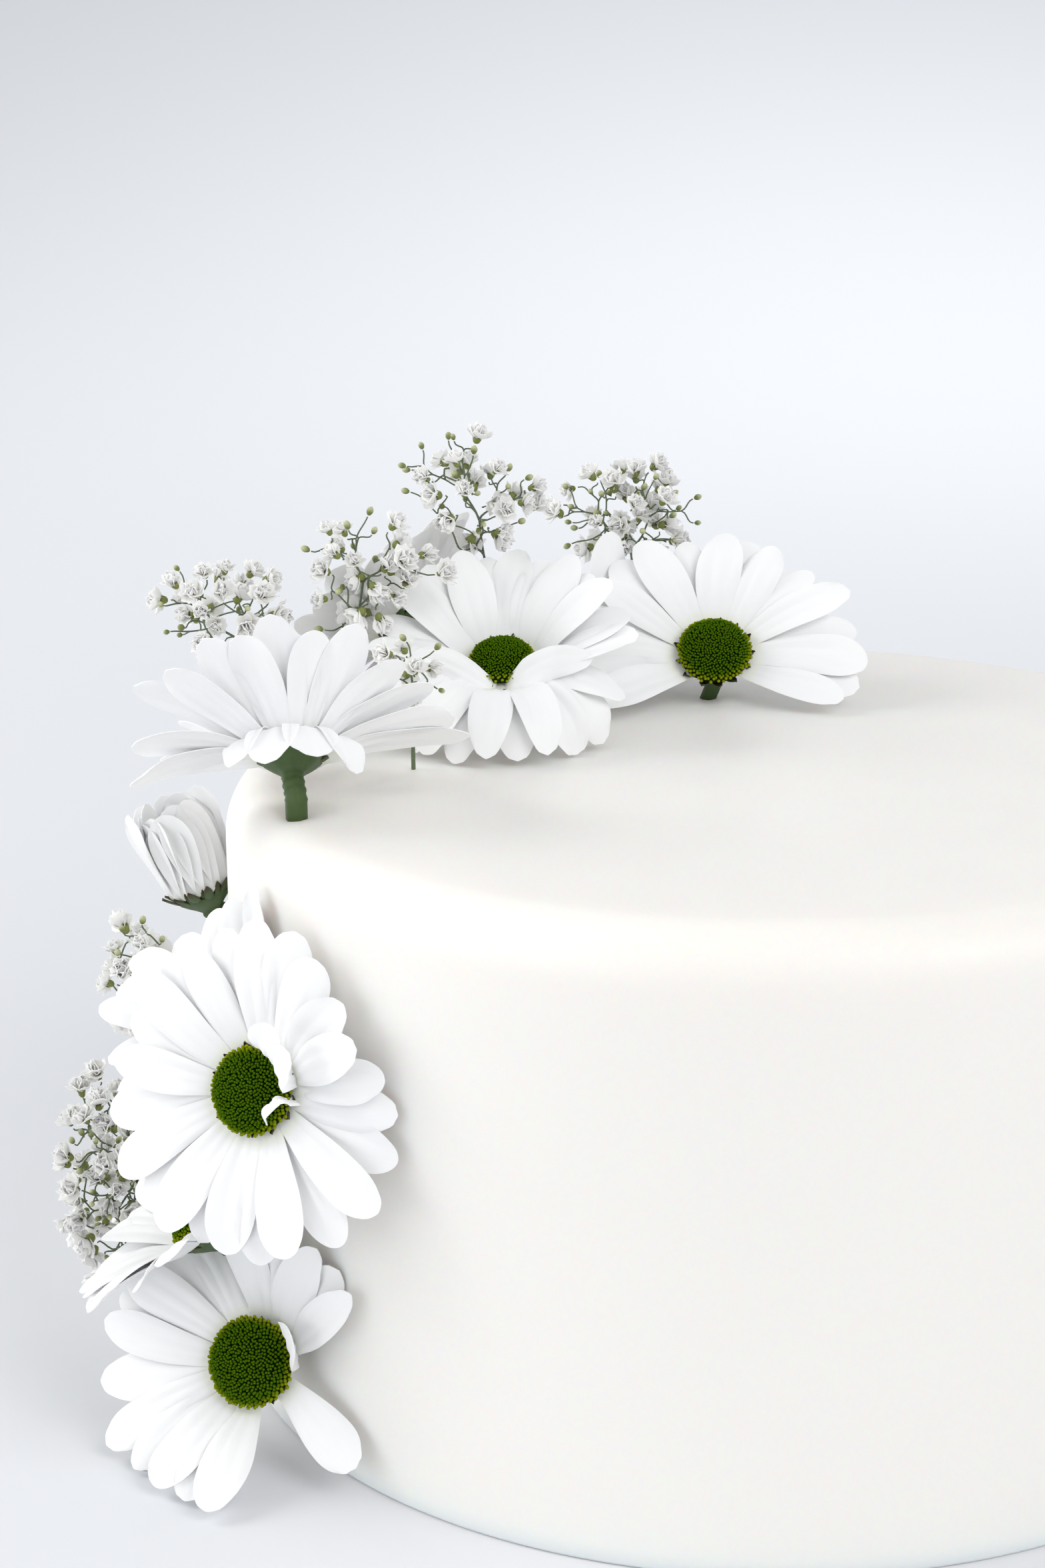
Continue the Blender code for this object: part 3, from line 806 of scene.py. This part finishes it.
def icing_profile():
    """(radius, height, outward normal) from the middle of the top to the middle of the base."""
    straight = CAKE_RADIUS - EDGE_RADIUS
    foot = ICING_FOOT
    rows = [(straight * step / TOP_RINGS, CAKE_HEIGHT, (0, 1)) for step in range(1, TOP_RINGS)]
    for step in range(EDGE_RINGS + 1):
        angle = math.pi / 2 * (1 - step / EDGE_RINGS)
        rows.append((straight + EDGE_RADIUS * math.cos(angle),
                     CAKE_HEIGHT - EDGE_RADIUS + EDGE_RADIUS * math.sin(angle),
                     (math.cos(angle), math.sin(angle))))
    wall = CAKE_HEIGHT - EDGE_RADIUS - foot
    for step in range(1, WALL_RINGS + 1):
        rows.append((CAKE_RADIUS, foot + wall * (1 - step / WALL_RINGS), (1, 0)))
    rows.append((CAKE_RADIUS - foot * 0.4, foot * 0.3, (0.7, -0.7)))
    rows.append((CAKE_RADIUS - foot, 0.0, (0, -1)))
    rows.append((CAKE_RADIUS * 0.5, 0.0, (0, -1)))
    return rows


def icing_swell(point, settings, feet):
    """How far the icing stands out at a point: soft swells, and a lip where a stem goes in."""
    broad = noise.noise(point * 26) * 0.8 + noise.noise(point * 61 + Vector((7, 3, 1))) * 0.35
    bands = noise.noise(Vector((point.x * 6, point.y * 6, point.z * 120))) * 0.18
    height = settings.unevenness * (broad + bands)
    for foot in feet:
        away = (point - foot).length
        if away < LIP_REACH:
            pressed = math.exp(-((away - 6.5 * MM) / (3.4 * MM)) ** 2)
            height += settings.press * (pressed - 0.6 * math.exp(-(away / (3.2 * MM)) ** 2))
    return height


class FLOWERCAKE_OT_icing(Operator):
    """Make the smooth icing, a little uneven, that gives where stems are pushed in"""
    bl_idname = "flower_cake.icing"
    bl_label = "Icing"

    def execute(self, context):
        settings = context.scene.flower_cake_icing
        feet = [read_foot(name + "_stem")[0] for name in DAISIES]
        steps = ICING_SIDES
        points, faces = [], []
        profile = icing_profile()
        for radius, height, normal in profile:
            for step in range(steps):
                angle = math.tau * step / steps
                across = Vector((math.cos(angle), math.sin(angle), 0))
                place = across * radius + Vector((0, 0, height))
                if height > 1.5 * MM:
                    swell = icing_swell(place, settings, feet)
                    place += (across * normal[0] + Vector((0, 0, normal[1]))) * swell
                points.append(place)
        for row in range(len(profile) - 1):
            for step in range(steps):
                after = (step + 1) % steps
                first, second = row * steps, (row + 1) * steps
                faces.append((first + step, second + step, second + after, first + after))
        top = Vector((0, 0, CAKE_HEIGHT))
        points += [top + Vector((0, 0, icing_swell(top, settings, feet))), Vector()]
        pole, base = len(points) - 2, len(points) - 1
        last = (len(profile) - 1) * steps
        for step in range(steps):
            after = (step + 1) % steps
            faces.append((pole, step, after))
            faces.append((base, last + after, last + step))
        mesh = plain_mesh("icing", points, faces)
        add_piece("icing", mesh, ["cake"], icing_material(settings))
        return {"FINISHED"}


# The daisies

def petal_grids(path, look, side=None):
    """The two faces of a petal that follows a path, with its marks across and along."""
    upper, lower, marks = [], [], []
    body = 1 - look.tip
    for row in range(PETAL_ROWS + 1):
        v = row / PETAL_ROWS
        top_line, low_line, mark_line = [], [], []
        for column in range(PETAL_COLUMNS + 1):
            u = column / PETAL_COLUMNS * 2 - 1
            if v <= body:
                grow = v / body
                half = look.width * (0.48 + 0.52 * math.sin(grow * math.pi / 2) ** 1.4)
                across, share = half * u, v
            else:
                q = (v - body) / look.tip
                across = look.width * u * math.sqrt(1 - q * q / 2)
                share = body + look.tip * q * math.sqrt(1 - u * u / 2)
                share -= look.notch * q ** 5 * (0.5 - 0.5 * math.cos(math.tau * 1.5 * u))
            place = path.at(share)
            way = path.way(min(max(share, 0.01), 0.99))
            flat = side or Vector((-place.y, place.x, 0)).normalized()
            flat = (flat - way * flat.dot(way)).normalized()
            up = way.cross(flat)
            roll = look.twist * share
            tilted = flat * math.cos(roll) + up * math.sin(roll)
            up = up * math.cos(roll) - flat * math.sin(roll)
            fade = math.sin(math.pi * min(share * 1.08, 1))
            rise = look.cup * u * u * look.width * min(share * 2, 1)
            rise += 0.17 * MM * math.cos(math.tau * 1.5 * u) * fade
            wave = math.sin(math.tau * 1.4 * share + look.phase + u)
            rise += look.ruffle * abs(u) ** 3 * wave * share
            centre = place + tilted * across + up * rise
            thick = look.thickness * (1 - 0.5 * abs(u) ** 3) * (1 - 0.35 * share) / 2
            top_line.append(centre + up * thick)
            low_line.append(centre - up * thick)
            mark_line.append((u * 0.5 + 0.5, share))
        upper.append(top_line)
        lower.append(low_line)
        marks.append(mark_line)
    return upper, lower, marks


def petal_look(settings, rng):
    """A petal's own width, tip, cup, twist and ruffle."""
    return Look(width=settings.petal_width * rng.uniform(0.88, 1.1), tip=rng.uniform(0.26, 0.42),
                notch=rng.uniform(0.0, 0.014), cup=rng.uniform(-0.14, 0.2),
                twist=rng.uniform(-0.22, 0.22), ruffle=rng.uniform(0.1, 0.5) * MM,
                phase=rng.uniform(0, math.tau), thickness=settings.petal_thickness)


def rooted(points):
    """A petal's points, drawn on under the disc."""
    root = points[0]
    return [root * 0.72 - Vector((0, 0, 0.15 * MM))] + points


def between(first, second, drop, stretch):
    """The points of a petal that lies between and behind two others."""
    points = []
    for a, b in zip(first, second):
        turn = math.atan2(a.y, a.x)
        sweep = (math.atan2(b.y, b.x) - turn + math.pi) % math.tau - math.pi
        reach = (a.xy.length + b.xy.length) / 2 * stretch
        angle = turn + sweep / 2
        lower = drop * (0.8 + (a - first[0]).length / (9 * MM))
        points.append(Vector((reach * math.cos(angle), reach * math.sin(angle),
                              (a.z + b.z) / 2 - lower)))
    return points


def polar(angle, radius, height):
    """A point in a head's frame, from degrees and millimetres."""
    angle = math.radians(angle)
    return Vector((radius * MM * math.cos(angle), radius * MM * math.sin(angle), height * MM))


def folded_petals(head):
    """Petals that stand up and fold over the disc, as (points, side, width) in the head's frame."""
    hub = head.radius / MM
    if head.name == "daisy_02":
        return [([polar(262, hub + 0.2, 0), polar(246, hub + 1.2, 1.5), polar(222, hub + 2.6, 3.6),
                  polar(198, hub + 5.5, 4.2), polar(188, hub + 11, 4.4)],
                 Vector((-0.25, 0.6, 0.75)), 2.8),
                ([polar(282, hub + 0.2, 0), polar(298, hub + 1.2, 1.7), polar(318, hub + 2.6, 4.0),
                  polar(340, hub + 5.5, 4.8), polar(350, hub + 12, 5.0)],
                 Vector((0.25, 0.6, 0.75)), 3.2)]
    if head.name == "daisy_03":
        return [([polar(angle, hub, 0), polar(angle, hub + 3.6, -0.6),
                  polar(angle, hub + 6.2, -3.6), polar(angle + lean, hub + 7.6, -drop)],
                 None, width)
                for angle, lean, drop, width in ((46, -8, 7.6, 4.4), (74, -4, 9.6, 5.0),
                                                 (104, 4, 8.6, 5.0), (134, 8, 9.8, 4.8))]
    if head.name == "daisy_04":
        return [([polar(30, hub + 0.4, 0), polar(30, hub + 0.7, 3.8), polar(31, hub + 1.2, 7.0),
                  polar(33, hub + 3.4, 10.0), polar(35, hub + 7.5, 12.0)], None, 3.9),
                ([polar(60, hub + 0.4, 0), polar(60, hub + 0.7, 3.6), polar(58, hub + 1.0, 6.6),
                  polar(56, hub + 3.2, 9.6), polar(55, hub + 7.5, 11.6)], None, 3.9),
                ([polar(-4, hub + 0.4, 0), polar(-3, hub + 0.5, 3.2), polar(-2, hub + 0.3, 5.6),
                  polar(-14, hub - 0.4, 6.6), polar(-27, hub - 1.0, 6.2),
                  polar(-40, hub - 0.2, 4.8)], Vector((0.7, -0.2, 0.7)), 1.7)]
    if head.name == "daisy_05":
        return [([polar(20, hub + 0.3, 0), polar(22, hub + 0.8, 4.0), polar(28, hub + 2.4, 8.0),
                  polar(36, hub + 5.0, 12.0)], None, 4.2)]
    return []


class FLOWERCAKE_OT_petals(Operator):
    """Make each daisy's petals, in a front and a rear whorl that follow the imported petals"""
    bl_idname = "flower_cake.petals"
    bl_label = "Petals"

    def execute(self, context):
        settings = context.scene.flower_cake_daisies
        material = petal_material(settings)
        stems = {name: closed_tree(name + "_stem") for name in DAISIES}
        done = []
        for name in DAISIES:
            others = [stem for label, stem in stems.items() if label != name]
            head = read_head(name)
            rng = random.Random(name)
            lines = read_petals(head)
            if not lines:
                raise RuntimeError(f"{name} has no petals")
            shell = Shell()

            def draw(points, side=None, width=None, must=True):
                look = petal_look(settings, rng)
                if width:
                    look = look._replace(width=width * MM, cup=0.1, twist=0.0)
                upper, lower, marks = petal_grids(Path(rooted(points)), look, side)
                placed = [[[kept_clear(head.matrix @ point, PETAL_ROOM) for point in row]
                           for row in grid] for grid in (upper, lower)]
                flat = [point for row in placed[0] for point in row]
                columns = PETAL_COLUMNS + 1
                quads = [(row * columns + column, row * columns + column + 1,
                          (row + 1) * columns + column + 1, (row + 1) * columns + column)
                         for row in range(PETAL_ROWS) for column in range(PETAL_COLUMNS)]
                tree = BVHTree.FromPolygons(flat, quads)
                if not must and any(tree.overlap(other) for other in done + others):
                    return False
                shell.add(placed[0], placed[1], marks)
                return True

            for index, (angle, points) in enumerate(lines):
                after_angle, after = lines[(index + 1) % len(lines)]
                gap = (after_angle - angle) % math.tau
                if 0.1 < gap < REAR_GAP:
                    for drop in REAR_DROPS:
                        behind = between(points, after, settings.whorl_drop * drop,
                                         rng.uniform(0.94, 1.04))
                        if draw(behind, must=False):
                            break
            for angle, points in lines:
                draw(points)
            for points, side, width in folded_petals(head):
                draw(points, side, width)
            mesh = shell.mesh(name + "_petals_full")
            done.append(BVHTree.FromPolygons(shell.points, shell.faces))
            add_piece(name + "_petals_full", mesh, [name + "_petals"], material)
        return {"FINISHED"}


class FLOWERCAKE_OT_discs(Operator):
    """Make each daisy's disc of closely packed florets, larger and yellower at its rim"""
    bl_idname = "flower_cake.discs"
    bl_label = "Discs"

    def execute(self, context):
        settings = context.scene.flower_cake_daisies
        material = disc_material(settings)
        tree = disc_tree()
        floret = helper("disc_floret", bud_shape("disc_floret", DISC_FLORET, 6))
        for name in DAISIES:
            head = read_head(name)
            empty = bpy.data.meshes.new(name + "_disc_points")
            mesh = grown(name + "_disc", empty, tree, {
                "Count": settings.disc_count, "Radius": head.radius - DISC_INSET,
                "Height": DISC_HEIGHT, "Rim": DISC_RIM, "Floret": floret, "Material": material})
            bed = bmesh.new()
            bed.from_mesh(mesh)
            core = bmesh.ops.create_uvsphere(bed, u_segments=32, v_segments=14, radius=1.0)["verts"]
            across = head.radius * 0.97
            bmesh.ops.scale(bed, verts=core, vec=(across, across, BED_HEIGHT))
            for vert in core:
                vert.co.z = max(vert.co.z, 0.0) + BED_LIFT
            bmesh.ops.transform(bed, matrix=head.matrix, verts=bed.verts)
            bed.to_mesh(mesh)
            bed.free()
            add_piece(name + "_disc", smoothed(mesh), [name + "_centre"],
                      material)
        bpy.data.objects.remove(floret)
        return {"FINISHED"}


def bezier(start, first, second, end, count):
    """Points on a cubic curve, both ends included."""
    made = []
    for index in range(count):
        t = index / (count - 1)
        made.append(start * (1 - t) ** 3 + first * (3 * t * (1 - t) ** 2)
                    + second * (3 * t * t * (1 - t)) + end * t ** 3)
    return made


class FLOWERCAKE_OT_stems(Operator):
    """Make each daisy's ribbed stem, and the overlapping bracts that cup its head"""
    bl_idname = "flower_cake.stems"
    bl_label = "Stems"

    def execute(self, context):
        settings = context.scene.flower_cake_daisies
        material = stem_material(settings)
        tree = copies_tree()
        bract = helper("bract", bract_mesh())
        for name in DAISIES:
            head = read_head(name)
            rng = random.Random(name + "stem")
            stem = self.stem(head, name)
            cup = Vector((0, 0, 1))
            rows = []
            for ring, (radius, height, out, size) in enumerate(BRACT_RINGS):
                count = 11 + ring
                for index in range(count):
                    angle = math.tau * (index + ring / 2 + rng.uniform(-0.12, 0.12)) / count
                    across = Vector((math.cos(angle), math.sin(angle), 0))
                    along = (across * out + cup).normalized()
                    facing = (across - cup * out).normalized()
                    rows.append((across * radius * MM + cup * height * MM, facing, along,
                                 size * MM * rng.uniform(0.85, 1.1)))
            collar = grown(name + "_collar", point_mesh(name + "_bract_points", rows), tree,
                           {"Part": bract, "Material": material})
            collar.transform(head.matrix)
            for vert in collar.vertices:
                vert.co = kept_clear(vert.co, CUP_ROOM)
            whole = bmesh.new()
            whole.from_mesh(stem)
            whole.from_mesh(collar)
            mesh = bpy.data.meshes.new(name + "_stalk")
            whole.to_mesh(mesh)
            whole.free()
            add_piece(name + "_stalk", smoothed(mesh), [name + "_stem"], material)
        bpy.data.objects.remove(bract)
        return {"FINISHED"}

    def stem(self, head, name):
        """The ribbed stem from the icing, widening into the cup under the head."""
        place, out = read_foot(name + "_stem")
        facing = head.matrix.to_3x3() @ Vector((0, 0, 1))
        neck = head.matrix @ Vector((0, 0, -NECK_DEPTH - 1.6 * MM))
        out = (out + STEM_LEANS.get(name, Vector())).normalized()
        start = place + out * STRAIGHT_REACH
        pull = (neck - start).length / 3
        slim = SLIM_STEMS.get(name, 1.0) * MM
        centres = [place - out * BURIED]
        centres += bezier(start, start + out * pull, neck - facing * pull, neck, STEM_STEPS)
        centres += [head.matrix @ Vector((0, 0, height * MM)) for height in CUP_HEIGHTS]
        widths = [(STEM_RADIUS - 0.05) * slim]
        widths += [(STEM_RADIUS + 0.12 * math.sin(step * 1.7)) * slim for step in range(STEM_STEPS)]
        widths += [radius * MM for radius in CUP_RADII]
        points = []
        side = out.orthogonal().normalized()
        for index, (centre, width) in enumerate(zip(centres, widths)):
            before, after = centres[max(index - 1, 0)], centres[min(index + 1, len(centres) - 1)]
            way = (after - before).normalized()
            side = (side - way * side.dot(way)).normalized()
            other = way.cross(side)
            for step in range(STEM_SIDES):
                angle = math.tau * step / STEM_SIDES
                reach = width * (1 + 0.045 * math.cos(angle * 6))
                point = centre + (side * math.cos(angle) + other * math.sin(angle)) * reach
                points.append(kept_clear(point, CUP_ROOM) if index > 10 else point)
        mesh = bpy.data.meshes.new(name + "_stem_tube")
        mesh.from_pydata(points, [], tube_faces(len(centres), STEM_SIDES))
        store(mesh, "tip", [0.0] * len(points))
        return mesh


# The sprays

def inside(tree, point, depth):
    """Whether a point is inside a closed mesh, at least this deep."""
    near, normal, _, distance = tree.find_nearest(point)
    return (point - near).dot(normal) < 0 and distance >= depth


def spray_ends(name, settings, obstacles):
    """Where a spray's florets and buds go: spread through its cloud, clear of the daisies."""
    rng = random.Random(name)
    tree = closed_tree(name)
    low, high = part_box(name)
    deep = []
    for _ in range(CLOUD_TRIES):
        point = Vector([rng.uniform(low[axis], high[axis]) for axis in range(3)])
        if inside(tree, point, CLOUD_DEPTH):
            deep.append(point)
    if not deep:
        raise RuntimeError(f"{name} has no cloud")
    middle = mean(deep)
    kept = []
    for point in deep:
        room = settings.spacing * rng.uniform(0.85, 1.2)
        if any((point - other).length < room for other in kept):
            continue
        if any(other.find_nearest(point, DAISY_ROOM)[0] for other in obstacles):
            continue
        if from_icing(point)[0] < ICING_ROOM:
            continue
        kept.append(point)
    ends = []
    for point in kept:
        away = (point - middle).normalized()
        loose = Vector([rng.gauss(0, 0.35) for _ in range(3)])
        facing = (away + Vector((0, 0, 0.35)) + loose).normalized()
        if rng.random() < settings.bud_share:
            size = settings.bud_size * rng.uniform(0.8, 1.15)
            ends.append(End(point + facing * 1.6 * MM, facing, size, "bud"))
        else:
            kind = rng.choice(("open", "open", "half"))
            ends.append(End(point, facing, settings.floret_size * rng.uniform(0.78, 1.16), kind))
    return middle, ends


def fork(stalks, origin, heading, ends, thick, rng):
    """Splits again and again, from one stalk down to a thin one for each end."""
    if len(ends) == 1:
        end = ends[0]
        foot = end.place - end.facing * end.size * (1.7 if end.kind == "bud" else 0.62)
        pull = (foot - origin).length * 0.4
        stalks.append((bezier(origin, origin + heading * pull, foot - end.facing * pull, foot, 6),
                       thick, STALK_TIP))
        return
    centre = mean([end.place for end in ends])
    pairs = [(first, second) for first in ends for second in ends if first is not second]
    first, second = max(pairs, key=lambda pair: (pair[0].place - pair[1].place).length)
    axis = (second.place - first.place).normalized()
    ordered = sorted(ends, key=lambda end: end.place.dot(axis))
    cut = max(1, min(len(ends) - 1, round(len(ends) * rng.uniform(0.38, 0.62))))
    meet = origin.lerp(centre, rng.uniform(0.36, 0.5))
    way = (centre - origin).normalized()
    pull = (meet - origin).length * 0.4
    thinner = max(thick * 0.84, STALK_LEAST)
    line = bezier(origin, origin + heading * pull, meet - way * pull, meet, 5)
    stalks.append((line, thick, thinner))
    for half in (ordered[:cut], ordered[cut:]):
        turn = (mean([end.place for end in half]) - meet).normalized()
        fork(stalks, meet, (way + turn).normalized(), half, thinner, rng)


def stalk_mesh(name, stalks):
    """The stalks as bare edges with the thickness that each point takes."""
    mesh = bpy.data.meshes.new(name)
    points, edges, thicks = [], [], []
    for line, first, last in stalks:
        start = len(points)
        points += line
        edges += [(start + index, start + index + 1) for index in range(len(line) - 1)]
        thicks += [first + (last - first) * index / (len(line) - 1) for index in range(len(line))]
    mesh.from_pydata(points, edges, [])
    store(mesh, "thick", thicks)
    return mesh


class FLOWERCAKE_OT_sprays(Operator):
    """Make the sprays of baby's breath: forking stalks, double florets, calyxes and buds"""
    bl_idname = "flower_cake.sprays"
    bl_label = "Sprays"

    def execute(self, context):
        settings = context.scene.flower_cake_sprays
        obstacles = []
        for name in DAISIES:
            shape = bmesh.new()
            shape.from_mesh(bpy.data.objects[name + "_petals_full"].data)
            obstacles.append(BVHTree.FromBMesh(shape))
            shape.free()
        stalks, ends = [], []
        for name in SPRIGS:
            rng = random.Random(name + "fork")
            middle, found = spray_ends(name, settings, obstacles)
            place, out = read_foot(name)
            start = place + out * STRAIGHT_REACH
            base = start.lerp(middle, 0.5)
            pull = (base - start).length / 3
            way = (middle - start).normalized()
            trunk = bezier(start, start + out * pull, base - way * pull, base, 7)
            stalks.append(([place - out * BURIED] + trunk, settings.stalk_radius * 1.15,
                           settings.stalk_radius))
            fork(stalks, base, way, found, settings.stalk_radius * 0.9, rng)
            ends += found
        rng = random.Random("spray parts")
        copies = copies_tree()
        dark = tipped_material("spray_stalks", settings.stalk_colour, settings.stalk_tip,
                               (0.0, 0.6), 0.6)
        mesh = grown("spray_stalks", stalk_mesh("stalk_lines", stalks), stalk_tree(),
                     {"Sides": 6, "Material": dark})
        add_piece("spray_stalks", mesh, SPRIGS)

        white = tipped_material("spray_florets", settings.floret_root, settings.floret_colour,
                                (0.1, 0.5), 0.55, 0.8 * MM)
        green = tipped_material("spray_calyxes", settings.calyx_colour, settings.calyx_tip,
                                (0.62, 0.95), 0.6)
        pale = tipped_material("spray_buds", settings.bud_colour, settings.bud_tip,
                               (0.3, 0.85), 0.5)
        parts = (("spray_open_florets", floret_mesh("open_floret", "open", 1.0), "open", white),
                 ("spray_half_florets", floret_mesh("half_floret", "half", 0.2), "half", white),
                 ("spray_calyxes", bud_shape("calyx", CALYX, 10, 0.12), "calyx", green),
                 ("spray_buds", bud_shape("bud", BUD, 8), "bud", pale))
        for label, shape, kind, material in parts:
            chosen = [end for end in ends
                      if end.kind == kind or (kind == "calyx" and end.kind != "bud")]
            rows = [(end.place, end.facing,
                     Vector([rng.gauss(0, 1) for _ in range(3)]).normalized(), end.size)
                    for end in chosen]
            part = helper(label + "_part", shape)
            mesh = grown(label, point_mesh(label + "_points", rows), copies,
                         {"Part": part, "Material": material})
            bpy.data.objects.remove(part)
            add_piece(label, mesh, SPRIGS)
        return {"FINISHED"}


# The stage

def area_light(name, place, target, size, power, colour, spread):
    """A round light that faces its target."""
    data = bpy.data.lights.new(name, "AREA")
    data.shape = "DISK"
    data.size = size
    data.energy = power
    data.color = colour
    data.spread = math.radians(spread)
    made = bpy.data.objects.new(name, data)
    made.location = place
    made.rotation_euler = (Vector(target) - Vector(place)).to_track_quat("-Z", "Y").to_euler()
    bpy.context.scene.collection.objects.link(made)


class FLOWERCAKE_OT_stage(Operator):
    """Set the pale floor and backdrop, the soft lights and the camera"""
    bl_idname = "flower_cake.stage"
    bl_label = "Stage"

    def execute(self, context):
        settings = context.scene.flower_cake_stage
        line = [(FLOOR_FRONT, 0.0), (FLOOR_BACK, 0.0)]
        for step in range(1, BEND_STEPS + 1):
            angle = math.pi / 2 * step / BEND_STEPS
            line.append((FLOOR_BACK + BEND_RADIUS * math.sin(angle),
                         BEND_RADIUS - BEND_RADIUS * math.cos(angle)))
        line.append((FLOOR_BACK + BEND_RADIUS, BACKDROP_TOP))
        points = [(side * FLOOR_SIDE, y, z) for y, z in line for side in (-1, 1)]
        faces = [(2 * row, 2 * row + 1, 2 * row + 3, 2 * row + 2) for row in range(len(line) - 1)]
        mesh = plain_mesh("sweep", points, faces)
        material, tree, shader = new_material("sweep", settings.floor_colour, 0.8)
        place = node(tree, "ShaderNodeTexCoord").outputs["Object"]
        cloudy = grain(tree, place, 0.7, 1.0)
        tree.links.new(mix(tree, cloudy, (*settings.floor_colour, 1),
                           (*[part * 0.985 for part in settings.floor_colour], 1)),
                       shader.inputs["Base Color"])
        mesh.materials.append(material)
        sweep = bpy.data.objects.new("sweep", mesh)
        context.scene.collection.objects.link(sweep)

        for name, place, target, size, colour, spread in LIGHTS:
            area_light(name, place, target, size, getattr(settings, name), colour, spread)
        world = bpy.data.worlds.new("room")
        world.use_nodes = True
        sky = world.node_tree.nodes["Background"].inputs
        sky["Color"].default_value = SKY_COLOUR
        sky["Strength"].default_value = settings.sky
        context.scene.world = world
        context.scene.view_settings.view_transform = "Standard"

        data = bpy.data.cameras.new("camera")
        data.lens = 70
        data.sensor_width = 36
        data.clip_start = 0.01
        camera = bpy.data.objects.new("camera", data)
        ahead = Vector((0, math.cos(CAMERA_DOWN), -math.sin(CAMERA_DOWN)))
        above = Vector((0, math.sin(CAMERA_DOWN), math.cos(CAMERA_DOWN)))
        turn = Matrix((Vector((1, 0, 0)), above, -ahead)).transposed()
        turn = (turn @ Matrix.Rotation(CAMERA_ROLL, 3, "Z")).to_4x4()
        camera.matrix_world = Matrix.Translation(CAMERA_PLACE) @ turn
        context.scene.collection.objects.link(camera)
        context.scene.camera = camera
        return {"FINISHED"}


class FLOWERCAKE_PT_panel(Panel):
    """The steps that build the cake, in order"""
    bl_idname = "FLOWERCAKE_PT_panel"
    bl_label = "Flower Cake"
    bl_space_type = "VIEW_3D"
    bl_region_type = "UI"
    bl_category = "Flower Cake"

    def draw(self, context):
        for step in STEPS:
            self.layout.operator(step.bl_idname)


STEPS = (FLOWERCAKE_OT_stage, FLOWERCAKE_OT_icing, FLOWERCAKE_OT_petals, FLOWERCAKE_OT_discs,
         FLOWERCAKE_OT_stems, FLOWERCAKE_OT_sprays)
GROUPS = {"flower_cake_icing": IcingSettings, "flower_cake_daisies": DaisySettings,
          "flower_cake_sprays": SpraySettings, "flower_cake_stage": StageSettings}


def register():
    for group in GROUPS.values():
        bpy.utils.register_class(group)
    for label, group in GROUPS.items():
        setattr(bpy.types.Scene, label, PointerProperty(type=group))
    for step in STEPS:
        bpy.utils.register_class(step)
    bpy.utils.register_class(FLOWERCAKE_PT_panel)


def unregister():
    bpy.utils.unregister_class(FLOWERCAKE_PT_panel)
    for step in reversed(STEPS):
        bpy.utils.unregister_class(step)
    for label in GROUPS:
        delattr(bpy.types.Scene, label)
    for group in reversed(GROUPS.values()):
        bpy.utils.unregister_class(group)


def main():
    register()
    bpy.ops.flower_cake.stage()
    bpy.ops.flower_cake.icing()
    bpy.ops.flower_cake.petals()
    bpy.ops.flower_cake.discs()
    bpy.ops.flower_cake.stems()
    bpy.ops.flower_cake.sprays()


if __name__ == "__main__":
    main()
